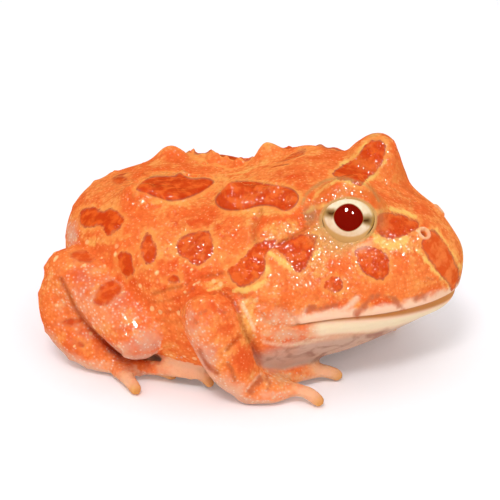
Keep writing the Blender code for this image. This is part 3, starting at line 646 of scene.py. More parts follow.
def trunk_distance(points):
    """About how far points lie outside the trunk: r (1 - 1 / rho), rho being the superellipse's radius."""
    x, y, z = points.T
    sizes = [np.interp(x, PROFILE[:, 0], PROFILE[:, c]) for c in range(1, 7)]
    half, back, under, beam, up, low = sizes
    above = z >= beam
    power = np.where(above, up, low)
    tall = np.maximum(np.where(above, back - beam, beam - under), 0.3)
    rho = (np.abs(y / np.maximum(half, 0.3)) ** power + np.abs((z - beam) / tall) ** power) ** (1 / power)
    return np.hypot(y, z - beam) * (1 - 1 / np.maximum(rho, 0.2))


def limb_distance(points, rows):
    """Distance outside a string of balls along the limb, and how far along it the nearest ball is."""
    balls = through(rows, LIMB_BALLS)
    radius = balls[:, 3:].mean(1)
    distance = np.full(len(points), FAR)
    along = np.zeros(len(points))
    low, high = balls[:, :3].min(0) - LIMB_REACH, balls[:, :3].max(0) + LIMB_REACH
    near = np.where(((points > low) & (points < high)).all(1))[0]
    if len(near):
        gap = np.linalg.norm(points[near][:, None] - balls[None, :, :3], axis=2) - radius
        distance[near] = gap.min(1)
        along[near] = gap.argmin(1) / (LIMB_BALLS - 1)
    return distance, along


def photo_pixel(points):
    """Pixels of the photograph where points lie, seen through a pinhole at the camera's place."""
    away = points - CAMERA_PLACE
    scale = CAMERA_DISTANCE / (-(away @ BACKWARD) * MM_PER_PIXEL)
    return np.stack([MIDDLE + (away @ RIGHTWARD) * scale, MIDDLE - (away @ UPWARD) * scale], -1)


def segment_distance(at, a, b):
    """Distance of each pixel from the nearest of the segments a-b."""
    ab = b - a
    ap = at[:, None] - a[None]
    t = np.clip((ap * ab).sum(-1) / ((ab * ab).sum(-1) + 1e-9), 0, 1)
    return np.linalg.norm(ap - t[..., None] * ab, axis=2).min(1)


def outline_distance(at, outline):
    """Distance of pixels from a smooth closed outline, negative inside by the even-odd rule."""
    rows = np.array(outline, float)
    ring = through(np.vstack([rows, rows[:1]]), 6 * len(rows) + 1, (rows[-1], rows[1]))[:-1]
    a, b = ring, np.roll(ring, -1, 0)
    distance = segment_distance(at, a, b)
    x, y = at[:, :1], at[:, 1:]
    crosses = ((a[:, 1] > y) != (b[:, 1] > y)) & (
        x < (b[:, 0] - a[:, 0]) * (y - a[:, 1]) / (b[:, 1] - a[:, 1] + 1e-9) + a[:, 0]
    )
    return np.where(crosses.sum(1) % 2 == 1, -distance, distance)


def base_surfaces():
    """Closed surfaces that together fill the frog: trunk, limbs, digits and the domes over the eyes."""
    grids = [trunk_surface(*TRUNK_GRID)]
    for side in SIDES:
        for name in LIMBS:
            grid = DIGIT_GRID if name[-1].isdigit() else LIMB_GRID
            grids.append(limb_surface(limb_rows(name, side), *grid))
        grids.append(lid_surface(side, *LID_GRID))
    return grids


def fused(grids, voxel):
    """One mesh around all the surfaces: they are joined and meshed again on a fine cubic grid."""
    flesh = bpy.data.objects.new("loose_flesh", closed_mesh("loose_flesh", grids))
    bpy.context.scene.collection.objects.link(flesh)
    remesh = flesh.modifiers.new("Fuse", "REMESH")
    remesh.mode = "VOXEL"
    remesh.voxel_size = voxel
    evaluated = flesh.evaluated_get(bpy.context.evaluated_depsgraph_get())
    skin = bpy.data.meshes.new_from_object(evaluated)
    bpy.data.objects.remove(flesh)
    return skin


def part_distances(points):
    """Distance of the points from every part of the frog, and how far along each limb they lie."""
    found = {"trunk": (trunk_distance(points), None)}
    for side, word in SIDES.items():
        for name in LIMBS:
            found[f"{name}_{word}"] = limb_distance(points, limb_rows(name, side))
        gap = np.linalg.norm(points - EYE_CENTRE * (1, side, 1), axis=1) - LID_RADIUS
        found[f"lid_{word}"] = (gap, None)
    return found


def refined(mesh, inside):
    """Cuts the edges whose two points are inside in half, so that fine details have points to stand on."""
    solid = bmesh.new()
    solid.from_mesh(mesh)
    solid.verts.ensure_lookup_table()
    cut = [e for e in solid.edges if inside[e.verts[0].index] and inside[e.verts[1].index]]
    bmesh.ops.subdivide_edges(solid, edges=cut, cuts=1, use_grid_fill=True)
    bmesh.ops.triangulate(solid, faces=[f for f in solid.faces if len(f.verts) > 4])
    solid.to_mesh(mesh)
    solid.free()
    mesh.update()


def eye_angles(points, side):
    """Distance of points from the eye's centre, and their angles forward and up from its gaze."""
    gaze = GAZE * (1, side, 1)
    up = np.array((0.0, 0.0, 1.0)) - gaze * gaze[2]
    up /= np.linalg.norm(up)
    fore = np.cross(gaze, up)
    fore *= np.sign(fore[0])
    off = points - EYE_CENTRE * (1, side, 1)
    reach = np.linalg.norm(off, axis=1)
    way = off / reach[:, None]
    return reach, np.arctan2(way @ fore, way @ gaze), np.arcsin(np.clip(way @ up, -1, 1))


def opening(fore, up):
    """1 on the rim of the eye's opening, less inside: an ellipse of angles, fuller above."""
    high = np.where(up > EYE_MIDDLE[1], EYE_SPAN[1], EYE_SPAN[2])
    return np.sqrt(((fore - EYE_MIDDLE[0]) / EYE_SPAN[0]) ** 2 + ((up - EYE_MIDDLE[1]) / high) ** 2)


class Skin:
    """The skin's points with what is known about each: its part of the body, normal and pixel."""

    def __init__(self, mesh):
        self.points = read_points(mesh)
        self.normals = read_normals(mesh)
        self.parts = part_distances(self.points)
        flip = np.ones((len(self.points), 3))
        flip[:, 1] = np.where(self.points[:, 1] > 0, -1.0, 1.0)
        self.flip = flip
        self.facing = (self.normals * flip) @ BACKWARD
        self.seen_facing = self.normals @ BACKWARD
        self.raise_by(0)
        groups = {"arm": ARM, "leg": [name for name in LIMBS if name not in ARM]}
        gap = {"body": np.abs(self.parts["trunk"][0])}
        for word in SIDES.values():
            gap["body"] = np.minimum(gap["body"], np.abs(self.parts[f"lid_{word}"][0]))
        for group, names in groups.items():
            gap[group] = np.min(
                [np.abs(self.parts[f"{name}_{word}"][0]) for name in names for word in SIDES.values()], 0
            )
        gap["leg"] = np.minimum(gap["leg"], FAR)
        self.gap = gap
        order = np.stack([gap["body"], gap["arm"], gap["leg"]])
        nearest = order.argmin(0)
        self.is_in = {"body": nearest == 0, "arm": nearest == 1, "leg": nearest == 2, "any": nearest < 3}
        self.above = self.points[:, 2] - mouth_height(self.points[:, 0])

    def raise_by(self, height):
        """Finds the pixels again for a skin that stands higher. The left side's marks drift a little."""
        points = self.points + self.normals * np.reshape(height, (-1, 1))
        self.seen_pixels = photo_pixel(points)
        self.pixels = photo_pixel(points * self.flip)
        drift = smooth(0, 5, points[:, 1])
        self.pixels[:, 0] += drift * 2.2 * np.sin(0.31 * points[:, 0] + 0.2 * points[:, 2])
        self.pixels[:, 1] += drift * 1.6 * np.sin(0.27 * points[:, 0] + 2.0)
        self.pixels[:, 1] -= smooth(0.5, 3, points[:, 1]) * smooth(20, 25, points[:, 2]) * LEFT_MARKS_LOWER

    def near(self, zone, mark, seen, least_facing):
        """Pixels and facing of the points, and which of a zone's points near a mark aren't turned away."""
        at, facing = (self.seen_pixels, self.seen_facing) if seen else (self.pixels, self.facing)
        box = np.array(mark, float)
        near = self.is_in[zone] & (facing > least_facing)
        near &= (at > box.min(0) - MARK_REACH).all(1) & (at < box.max(0) + MARK_REACH).all(1)
        return at, facing, near

    def stroke(self, zone, line, seen=False):
        """Distance in pixels of points of a zone from a line drawn on the photograph; far where hidden."""
        line = np.array(line, float)
        at, _, near = self.near(zone, line, seen, -0.15)
        gap = np.full(len(at), FAR_PIXELS)
        where = np.where(near)[0]
        if len(where):
            fine = through(line, 5 * len(line)) if len(line) > 2 else line
            gap[where] = segment_distance(at[where], fine[:-1], fine[1:])
        return gap

    def patch(self, name):
        """Signed distance in millimetres from a patch's outline, negative inside."""
        zone, _, _, outline, *seen = PATCHES[name]
        at, facing, near = self.near(zone, outline, seen, -0.25)
        if seen:
            near &= self.points[:, 2] > SEEN_MARKS_ABOVE
        gap = np.full(len(at), FAR_PIXELS)
        where = np.where(near)[0]
        if len(where):
            gap[where] = outline_distance(at[where], outline)
        grazing = (-0.25, -0.05) if seen else (-0.1, 0.2)
        return gap * MM_PER_PIXEL + 3 * (1 - smooth(*grazing, facing))

    def blot(self, centre, size):
        """A soft round spot on the photograph: exp(-(offset / size)^2)."""
        off = ((self.pixels - centre) / size) ** 2
        return np.exp(-off.sum(1))


def lip_profile(skin):
    """Upper lip, groove, recess that widens to the front, and lower lip, as heights over the skin."""
    x = skin.points[:, 0]
    share = mouth_share(x)
    band = RECESS * share**2
    above = skin.above
    lips = ((above, UPPER_LIP), (above + band, LOWER_LIP))
    upper, lower = (high * np.exp(-(((place - at) / wide) ** 2)) for place, (high, at, wide) in lips)
    upper *= smooth(34.0, 31.0, x)
    recess = (0.34 + 0.1 * share) * (smooth(-band - 0.6, -0.1, above) - smooth(-0.15, 0.12, above))
    fade = np.clip((x - MOUTH_BACK + 1) / 2.5, 0, 1) * skin.is_in["body"]
    return (upper - recess + lower) * fade


def nostril_gap(points, side):
    """Distance from a nostril's axis, and whether the points are near enough to belong to it."""
    off = points - NOSTRIL * (1, side, 1)
    out = off @ (NOSTRIL_AXIS * (1, side, 1))
    return np.sqrt(np.clip((off**2).sum(1) - out**2, 0, None)), np.abs(out) < NOSTRIL_REACH


def bumps(points, places, sizes, heights):
    """Sum of round Gaussians at the places."""
    total = np.zeros(len(points))
    for place, size, height in zip(places, sizes, heights):
        near = np.where((np.abs(points - place) < 3 * size).all(1))[0]
        total[near] += height * np.exp(-((points[near] - place) ** 2).sum(1) / size**2)
    return total


def crest_points(skin, draw):
    """Places, sizes and heights of small points along the crests of the plates, drawn one by one."""
    points, own_side = skin.points, skin.is_in["body"] & (skin.facing > 0)
    for name, (_, count, low, high) in PLATES.items():
        crest = through(np.array(PATCHES[name][3][:CREST_CORNERS], float), count)
        crest += draw.normal(0, 0.8, (count, 2)) + (0, 4.5)
        for side in SIDES:
            own = np.where((points[:, 1] * side > 0) & own_side)[0]
            for pixel in crest:
                nearest = own[((skin.pixels[own] - pixel) ** 2).sum(1).argmin()]
                if ((skin.pixels[nearest] - pixel) ** 2).sum() < 9 and abs(points[nearest, 1]) > 5:
                    yield points[nearest], draw.uniform(0.5, 0.8), draw.uniform(low, high)


def warts(skin, draw):
    """Heights of small warts strewn over back, flanks, legs and lids; the pale ones are kept for colour."""
    points = skin.points
    x, _, z = points.T
    rough = np.where((skin.is_in["body"] & (x < 13) & (z > 4)) | skin.is_in["leg"])[0]
    picked = draw.choice(rough, WARTS, replace=False)
    sizes, heights = draw.uniform(0.38, 0.72, WARTS), draw.uniform(0.12, 0.34, WARTS)
    height = bumps(points, points[picked], sizes, heights)
    flank = smooth(26, 22, z[picked]) * smooth(12, 6, x[picked]) * draw.uniform(0.35, 1, WARTS)
    skin.wart = np.clip(bumps(points, points[picked], sizes * 0.8, flank), 0, 1)
    lids = np.where((skin.parts["lid_right"][0] < 3) | (skin.parts["lid_left"][0] < 3))[0]
    picked = draw.choice(lids, LID_WARTS, replace=False)
    sizes, heights = draw.uniform(0.4, 0.7, LID_WARTS), draw.uniform(0.05, 0.16, LID_WARTS)
    return height + bumps(points, points[picked], sizes, heights)


def raised_details(skin):
    """Heights of everything that stands proud of the skin or lies below it."""
    height = lip_profile(skin)
    # The plates stand in a shallow groove
    for name, (amount, *_) in PLATES.items():
        gap = skin.patch(name)
        height += amount * smooth(0.35, -0.75, gap)
        height -= 0.22 * np.exp(-(((gap - 0.45) / 0.35) ** 2))
    for name in RAISED:
        height += RAISED_HEIGHT * smooth(0.3, -0.5, skin.patch(name))
    for zone, line, width, depth, _ in FOLDS_WITH_SHADE:
        height -= depth * np.exp(-((skin.stroke(zone, line) / width) ** 2))
    for centre, size, amount in PIXEL_SWELLINGS:
        height += amount * skin.blot(centre, size) * skin.is_in["body"] * smooth(0, 0.3, skin.facing)
    draw = np.random.default_rng(SEED)
    for place, size, high in crest_points(skin, draw):
        height += bumps(skin.points, [place], [size], [high])
    height += warts(skin, draw)
    # Nostrils: a raised ring about a pit
    for side in SIDES:
        gap, near = nostril_gap(skin.points, side)
        height += near * (0.5 * np.exp(-(((gap - 0.95) / 0.34) ** 2)) - 1.0 * smooth(0.78, 0.2, gap))
    return height


def around_eyes(points):
    """Draws the skin down to the eyeball at the rim of each opening, and under it inside the rim."""
    for side in SIDES:
        reach, fore, up = eye_angles(points, side)
        at = opening(fore, up)
        near = np.where((reach < 9.5) & (at < 1.7) & (np.abs(fore) < BESIDE_GAZE))[0]
        r, e = reach[near], at[near]
        rim, inner = EYE_RADIUS + RIM_OVER, EYE_RADIUS - SKIN_UNDER
        under = np.where(e < 1, inner + (rim - inner) * smooth(0.9, 1.0, e), 0)
        over = rim + (np.maximum(r, rim) - rim) * smooth(1.0, 1.55, e) ** 0.7
        new = np.where(e < 1, under, r + (over - r) * smooth(9.4, 7.0, r))
        centre = EYE_CENTRE * (1, side, 1)
        points[near] = centre + (points[near] - centre) * (new / r)[:, None]
    return points


def about_lids(points):
    """How freely points may ease between the rim of an eye's opening, which holds still, and the head."""
    free = np.zeros(len(points))
    for side in SIDES:
        reach, fore, up = eye_angles(points, side)
        at = opening(fore, up)
        ease = smooth(1.02, 1.14, at) * smooth(2.3, 1.8, at) * smooth(11, 9, reach) * smooth(0.95, 0.7, up)
        free = np.maximum(free, EASE * ease * (np.abs(fore) < 2.2))
    return free


def build_skin_mesh(voxel):
    """The frog's skin: fused surfaces, eased where parts meet, swollen, refined and given its details."""
    mesh = fused(base_surfaces(), voxel)
    edges = read_edges(mesh)
    points = relaxed(read_points(mesh), edges, STEP_WEIGHTS, STEP_ROUNDS)
    gaps = []
    for name, (gap, _) in part_distances(points).items():
        stem = name.rsplit("_", 1)[0]
        gaps.append(np.abs(gap) / JOIN_WIDTHS.get(stem, DIGIT_JOIN))
    second = np.partition(np.stack(gaps), 1, 0)[1]
    points = relaxed(points, edges, EASE * np.exp(-(second**2)), JOIN_ROUNDS)
    write_points(mesh, points)
    skin = Skin(mesh)
    height = np.zeros(len(points))
    for _, place, size, amount in SWELLINGS:
        for side in SIDES:
            off = (points - np.array(place) * (1, side, 1)) / np.array(size)
            height += amount * np.exp(-(off**2).sum(1))
    write_points(mesh, points + skin.normals * (height * smooth(2.2, 0.6, skin.gap["body"]))[:, None])
    skin = Skin(mesh)
    fine = skin.is_in["body"] & (np.abs(skin.above + 0.8) < 2.6) & (skin.points[:, 0] > 8)
    for side in SIDES:
        reach, fore, up = eye_angles(skin.points, side)
        fine |= (reach < 8.5) & (np.abs(opening(fore, up) - 1.05) < 0.45) & (np.abs(fore) < BESIDE_GAZE)
        fine |= np.linalg.norm(skin.points - NOSTRIL * (1, side, 1), axis=1) < 2.4
    for name in PLATES:
        fine |= np.abs(skin.patch(name)) < 1.0
    refined(mesh, fine)
    skin = Skin(mesh)
    height = raised_details(skin)
    for _ in range(2):
        skin.raise_by(height)
        height = raised_details(skin)
    put_attribute(mesh, "wart", skin.wart)
    points = skin.points + skin.normals * height[:, None]
    points = around_eyes(points)
    points = relaxed(points, read_edges(mesh), about_lids(points), LID_ROUNDS)
    points[:, 2] = np.maximum(points[:, 2], 0)
    write_points(mesh, points)
    return mesh


def put_attribute(mesh, name, values):
    """Stores one number for each point under a name that the material reads."""
    layer = mesh.attributes.new(name, "FLOAT", "POINT")
    layer.data.foreach_set("value", values.astype(np.float32))


def chart_marks(mesh, skin):
    """Distances in millimetres from patches and strokes, each patch's colour, and the painted shade along
    the folds.
    """
    gaps = np.array([skin.patch(name) for name in PATCHES])
    nearest = gaps.argmin(0)
    depths, crisps = zip(*(row[1:3] for row in PATCHES.values()))
    put_attribute(mesh, "patch", np.clip(gaps.min(0), -MARK_LIMIT, MARK_LIMIT))
    put_attribute(mesh, "depth", np.array(depths)[nearest])
    put_attribute(mesh, "crisp", np.array(crisps)[nearest])
    put_attribute(mesh, "plate", smooth(0.9, 0.3, np.min([skin.patch(name) for name in PLATES], 0)))
    for name, strokes in LINES.items():
        line = np.full(len(skin.points), FAR)
        for zone, stroke, half, *seen in strokes:
            line = np.minimum(line, (skin.stroke(zone, stroke, bool(seen)) - half) * MM_PER_PIXEL)
        put_attribute(mesh, name, np.clip(line, -MARK_LIMIT, MARK_LIMIT))
    # Painted shade along the folds, as dark as each fold's last column
    fold_shade = np.zeros(len(skin.points))
    for zone, stroke, width, _, dark in FOLDS_WITH_SHADE:
        fold_shade = np.maximum(fold_shade, dark * np.exp(-((skin.stroke(zone, stroke) / width) ** 2)))
    put_attribute(mesh, "fold_shade", fold_shade)


def chart_mouth(mesh, skin):
    """Height over the mouth line, how deep the recess below it reaches, and shares of face and belly."""
    x, z = skin.points[:, 0], skin.points[:, 2]
    front = smooth(10.5, 14, x) * skin.is_in["body"]
    put_attribute(mesh, "mouth", np.where(front > 0.01, skin.above, FAR))
    put_attribute(mesh, "recess", RECESS * mouth_share(x) ** 1.6)
    put_attribute(mesh, "front", front)
    bottom = smooth(-2.5, -5.0, skin.above) * smooth(2, 8, x) + smooth(5.5, 2.0, z) * smooth(8, 2, x)
    clear = smooth(1.4, -0.4, skin.gap["body"] - np.minimum(skin.gap["arm"], skin.gap["leg"]))
    put_attribute(mesh, "belly", np.clip(bottom, 0, 1) * clear)


def chart_tints(mesh, skin):
    """Shares of pale, red and golden skin, where it is wet, and where pale beads lie on the flank."""
    body, z = skin.is_in["body"], skin.points[:, 2]
    turned = smooth(-0.3, 0.1, skin.facing)
    under = smooth(0.2, -0.7, skin.normals[:, 2]) * ~body * 0.9 * smooth(11, 6, z)
    for name, rows in TINTS.items():
        tint = under if name == "pale" else np.zeros(len(z))
        for zone, centre, size, amount in rows:
            tint = np.maximum(tint, amount * skin.blot(centre, size) * skin.is_in[zone] * turned)
        put_attribute(mesh, name, np.clip(tint, 0, 1))
    wet = np.zeros(len(z))
    for centre, size, amount in WET:
        wet = np.maximum(wet, amount * skin.blot(centre, size) * turned)
    put_attribute(mesh, "wet", wet)
    flank = smooth(10, 5, skin.points[:, 0]) * smooth(3, 6, z) * smooth(25, 20, z) * body
    put_attribute(mesh, "warty", flank)


def chart_digits(mesh, skin):
    """Shares of digit and of its tip, by how far along the digit a point lies."""
    tip, digit = np.zeros((2, len(skin.points)))
    for name, (gap, along) in skin.parts.items():
        if name.rsplit("_", 1)[0][-1].isdigit():
            near = np.abs(gap) < 1.2
            digit = np.where(near, np.maximum(digit, smooth(0.0, 0.7, along)), digit)
            tip = np.where(near, np.maximum(tip, smooth(0.72, 0.98, along)), tip)
    put_attribute(mesh, "tip", tip)
    put_attribute(mesh, "digit", digit)


def chart_openings(mesh, skin):
    """Shares of rim, pale foot, lid and painted corner shade about the eyes, and the distance from a
    nostril's axis.
    """
    margin, halo, lid, corner_shade = np.zeros((4, len(skin.points)))
    ring = np.full(len(skin.points), FAR)
    for side in SIDES:
        reach, fore, up = eye_angles(skin.points, side)
        at = opening(fore, up)
        below, out = smooth(0.15, -0.25, up), reach - EYE_RADIUS
        margin = np.maximum(margin, smooth(1.1, 1.0, at) * smooth(0.75, 0.25, out))
        foot = below * smooth(-0.05, -0.4, up) * smooth(1.0, 0.7, np.abs(fore))
        halo = np.maximum(halo, foot * smooth(1.5, 1.2, at) * smooth(0.4, 0.9, out) * smooth(2.4, 1.2, out))
        lid = np.maximum(lid, smooth(6.9, 6.3, reach) * (1 - below) * smooth(1.02, 1.2, at))
        for ahead, weight in EYE_CORNERS:
            soft = np.exp(-(((fore - ahead) / 0.13) ** 2) - ((up + 0.05) / 0.36) ** 2)
            corner_shade = np.maximum(corner_shade, weight * soft * (reach < 8))
        gap, near = nostril_gap(skin.points, side)
        ring = np.minimum(ring, np.where(near, gap, FAR))
    for name, share in (("margin", margin), ("halo", halo), ("lid", lid), ("corner_shade", corner_shade)):
        put_attribute(mesh, name, share)
    put_attribute(mesh, "nostril", ring)


def add(tree, kind, inputs, **settings):
    """Adds a node: its settings, and for each input a value or the (node, output) that feeds it."""
    node = tree.nodes.new(kind)
    for key, value in settings.items():
        setattr(node, key, value)
    for key, value in inputs.items():
        if isinstance(value, tuple) and isinstance(value[0], bpy.types.Node):
            tree.links.new(value[0].outputs[value[1]], node.inputs[key])
        else:
            node.inputs[key].default_value = value
    return node


def paint(hexcode):
    """A linear colour with full alpha from an sRGB hex value."""
    return (*linear(hexcode), 1.0)


def node_tree(name):
    """A new material and its empty node tree."""
    material = bpy.data.materials.new(name)
    material.use_nodes = True
    material.node_tree.nodes.clear()
    return material, material.node_tree


# Words for rows of nodes: the node, its sockets in the row's order, its settings, the socket it gives
WORDS = {
    "step": ("ShaderNodeMapRange", (0, 1, 2, 4), {"interpolation_type": "SMOOTHSTEP"}, 0),
    "layer": ("ShaderNodeMix", (0, 6, 7), {"data_type": "RGBA"}, 2),
    "noise": ("ShaderNodeTexNoise", ("Vector", "Scale", "Detail", "Distortion"), {}, 0),
    "cells": ("ShaderNodeTexVoronoi", ("Vector", "Scale", "Randomness"), {}, "Distance"),
    "bump": ("ShaderNodeBump", ("Height", "Strength", "Distance"), {}, 0),
}


def add_rows(tree, values, rows):
    """Adds a node for each row: name, word, inputs. An input is a number, hex colour or earlier name.

    A word that WORDS doesn't hold is an operation of arithmetic. A step runs from 0 at its first
    limit to its last number at the second, and a layer lays its last colour over its first by a share.
    """
    for name, word, *inputs in rows:
        arithmetic = ("ShaderNodeMath", (0, 1, 2), {"operation": word}, 0)
        kind, sockets, settings, socket = WORDS.get(word, arithmetic)
        feeds = {}
        for key, value in zip(sockets, inputs):
            if isinstance(value, str):
                value = paint(value) if value.startswith("#") else values[value]
            feeds[key] = value
        values[name] = (add(tree, kind, feeds, **settings), socket)


def frog_skin_material(sizes):
    """Wet amphibian skin: thin, soft and translucent over granules, under a film of slime that glints."""
    material, tree = node_tree("wet_frog_skin")
    names = ("patch", "depth", "crisp", "plate", *LINES, "fold_shade", "mouth", "recess", "front", "belly")
    names += (*TINTS, "tip", "digit", "wart", "warty", "margin", "halo", "lid", "corner_shade", "nostril", "wet")
    values = {}
    for name in names:
        values[name] = (add(tree, "ShaderNodeAttribute", {}, attribute_name=name), "Fac")
    values["place"] = (add(tree, "ShaderNodeTexCoord", {}), "Object")
    for name in ("orange", "amber", "wine", "flesh", "ivory"):
        values[name] = (*getattr(sizes, name), 1.0)
    clouds = (
        ("mottle", "noise", "place", 1 / 0.0085, 3.0, 0.0),
        ("cloud", "noise", "place", 1 / 0.0030, 3.0, 0.5),
        ("blotch", "noise", "place", 1 / 0.0016, 2.0, 0.3),
        ("fleck", "noise", "place", 1 / 0.00075, 2.0, 0.0),
        ("grit", "noise", "place", 1 / 0.00036, 1.0, 0.0),
        ("grain", "cells", "place", 1 / sizes.granules, 0.9),
        ("bead", "cells", "place", 1 / sizes.warts, 1.0),
        ("drops", "cells", "place", 1 / sizes.drops, 1.0),
        ("ragged", "ADD", "fleck", -0.5),
        ("torn", "ADD", "blotch", -0.5),
        ("broad", "step", "mottle", 0.36, 0.64, 1.0),
    )
    # Orange, deeper or yellower in clouds, freckled by the granules
    flesh = (
        ("base", "layer", "broad", "orange", "amber"),
        ("share", "step", "cloud", 0.48, 0.72, 0.75),
        ("base", "layer", "share", "base", "#f9a456"),
        ("share", "step", "cloud", 0.47, 0.28, 0.5),
        ("base", "layer", "share", "base", "#ec6229"),
        ("share", "step", "blotch", 0.56, 0.75, 0.4),
        ("base", "layer", "share", "base", "#e8591f"),
        ("share", "MULTIPLY_ADD", "torn", 1.6, "red"),
        ("share", "step", "share", 0.12, 0.75, 0.7),
        ("limit", "step", "red", 0.02, 0.2, 1.0),
        ("share", "MULTIPLY", "share", "limit"),
        ("base", "layer", "share", "base", "#e04a1e"),
        ("share", "MULTIPLY_ADD", "torn", 1.4, "gold"),
        ("share", "step", "share", 0.1, 0.6, 0.8),
        ("limit", "step", "gold", 0.02, 0.2, 1.0),
        ("share", "MULTIPLY", "share", "limit"),
        ("base", "layer", "share", "base", "#f9b45e"),
        ("share", "step", "fleck", 0.5, 0.72, 0.4),
        ("base", "layer", "share", "base", "#d9531f"),
        ("share", "step", "grain", 0.32, 0.08, 0.55),
        ("base", "layer", "share", "base", "#fcb277"),
        ("share", "step", "grain", 0.42, 0.72, 0.25),
        ("base", "layer", "share", "base", "#d24d1e"),
    )
    # Yellow about the patches and in ragged lines; pale warts and beads on the flanks
    lines = (
        ("near", "MULTIPLY_ADD", "torn", 2.4, "patch"),
        ("near", "step", "near", 1.2, 0.1, 0.5),
        ("share", "MULTIPLY", "near", "crisp"),
        ("base", "layer", "share", "base", "#f9ad58"),
        ("thread", "MULTIPLY_ADD", "ragged", 0.8, "yellow"),
        ("thread", "MULTIPLY_ADD", "torn", 1.3, "thread"),
        ("share", "step", "thread", 0.42, -0.25, 0.82),
        ("base", "layer", "share", "base", "#f5c56a"),
        ("share", "step", "bead", 0.24, 0.12, 0.75),
        ("share", "MULTIPLY", "share", "warty"),
        ("base", "layer", "share", "base", "#fbc586"),
        ("share", "MULTIPLY_ADD", "ragged", 0.5, "wart"),
        ("share", "step", "share", 0.3, 0.75, 0.85),
        ("base", "layer", "share", "base", "#fbcf90"),
    )
    # Pale parts of the limbs, creamy over pink, then the digits with their golden tips
    limbs = (
        ("pink", "layer", "broad", "flesh", "#e9b090"),
        ("share", "step", "grain", 0.34, 0.08, 0.6),
        ("pink", "layer", "share", "pink", "#f7dcc2"),
        ("spread", "MULTIPLY_ADD", "torn", 0.7, "pale"),
        ("grained", "step", "grain", 0.5, 0.1, 0.3),
        ("limit", "step", "pale", 0.03, 0.25, 1.0),
        ("grained", "MULTIPLY", "grained", "limit"),
        ("spread", "ADD", "spread", "grained"),
        ("spread", "step", "spread", 0.12, 0.95, 1.0),
        ("share", "MULTIPLY", "spread", "limit"),
        ("base", "layer", "share", "base", "pink"),
        ("share", "MULTIPLY_ADD", "torn", 0.8, "digit"),
        ("share", "step", "share", 0.1, 0.9, 0.85),
        ("limit", "step", "digit", 0.0, 0.2, 1.0),
        ("share", "MULTIPLY", "share", "limit"),
        ("base", "layer", "share", "base", "#eeb78f"),
        ("base", "layer", "tip", "base", "#dd9a57"),
    )
    # Throat and belly, a cream band over the mouth, painted ochre shade in its recess and a cream roll
    # below it
    lips = (
        ("share", "step", "cloud", 0.46, 0.68, 0.8),
        ("throat", "layer", "share", "#c8a48f", "#9c705f"),
        ("base", "layer", "belly", "base", "throat"),
        ("lifted", "MULTIPLY_ADD", "torn", 1.6, "mouth"),
        ("lifted", "MULTIPLY_ADD", "cloud", 2.0, "lifted"),
        ("upper", "step", "lifted", 3.5, 2.0, 0.9),
        ("above", "step", "mouth", -0.3, 0.0, 1.0),
        ("upper", "MULTIPLY", "upper", "above"),
        ("low", "ADD", "mouth", "recess"),
        ("ledge", "MULTIPLY_ADD", "torn", 0.8, "low"),
        ("lower", "step", "ledge", -4.6, -2.0, 0.95),
        ("under", "step", "mouth", 0.1, -0.1, 1.0),
        ("lower", "MULTIPLY", "lower", "under"),
        ("behind", "step", "recess", 0.02, 0.16, 1.0),
        ("lower", "MULTIPLY", "lower", "behind"),
        ("band", "MAXIMUM", "upper", "lower"),
        ("band", "MULTIPLY", "band", "front"),
        ("share", "MULTIPLY_ADD", "ragged", 0.4, "cream_and_highlight"),
        ("share", "step", "share", 0.5, -0.3, 0.8),
        ("band", "MAXIMUM", "band", "share"),
        ("share", "step", "low", 0.2, -1.0, 1.0),
        ("roll", "layer", "share", "#f3cbab", "ivory"),
        ("base", "layer", "band", "base", "roll"),
        # Painted shade: ochre in the recess under the upper lip
        ("share", "step", "low", -0.45, 0.35, 0.95),
        ("limit", "step", "mouth", 0.14, -0.1, 1.0),
        ("share", "MULTIPLY", "share", "limit"),
        ("share", "MULTIPLY", "share", "front"),
        ("base", "layer", "share", "base", "#c88143"),
        # Painted shade: a thin darker line along the groove of the mouth
        ("share", "ABSOLUTE", "mouth"),
        ("share", "step", "share", 0.36, 0.06, 0.75),
        ("share", "MULTIPLY", "share", "front"),
        ("base", "layer", "share", "base", "#a9602f"),
        ("share", "MULTIPLY_ADD", "ragged", 0.5, "mauve"),
        ("share", "MULTIPLY_ADD", "torn", 1.4, "share"),
        ("share", "step", "share", 0.4, -0.5, 0.85),
        ("base", "layer", "share", "base", "#c2613f"),
    )
    # Patches: red-orange with a soft purple-grey rim, looser where they are not crisp
    patches = (
        ("beaded", "MULTIPLY_ADD", "ragged", 0.5, -0.1),
        ("beaded", "MULTIPLY_ADD", "grain", 0.35, "beaded"),
        ("beaded", "MULTIPLY_ADD", "torn", 0.7, "beaded"),
        ("calm", "MULTIPLY_ADD", "plate", -0.75, 1.0),
        ("edge", "MULTIPLY_ADD", "beaded", "calm", "patch"),
        ("steep", "MULTIPLY_ADD", "crisp", 0.75, 0.25),
        ("edge", "MULTIPLY", "edge", "steep"),
        ("inside", "step", "edge", 0.14, -0.14, 1.0),
        ("share", "step", "blotch", 0.42, 0.64, 1.0),
        ("deep", "layer", "share", "wine", "#e25d20"),
        ("share", "step", "cloud", 0.55, 0.78, 0.6),
        ("deep", "layer", "share", "deep", "#ea7a2c"),
        ("share", "step", "blotch", 0.4, 0.66, 1.0),
        ("light", "layer", "share", "#e9652b", "#f28747"),
        ("deep", "layer", "depth", "light", "deep"),
        ("base", "layer", "inside", "base", "deep"),
        ("rim", "ADD", "edge", 0.06),
        ("rim", "ABSOLUTE", "rim"),
        ("rim", "step", "rim", 0.3, 0.0, 0.55),
        ("rim", "MULTIPLY", "rim", "crisp"),
        ("share", "step", "cloud", 0.3, 0.55, 1.0),
        ("rim", "MULTIPLY", "rim", "share"),
        ("base", "layer", "rim", "base", "#a55c4c"),
        # Painted shade darkens the folds and the creases beside the arm
        ("base", "layer", "fold_shade", "base", "#a83d18"),
    )
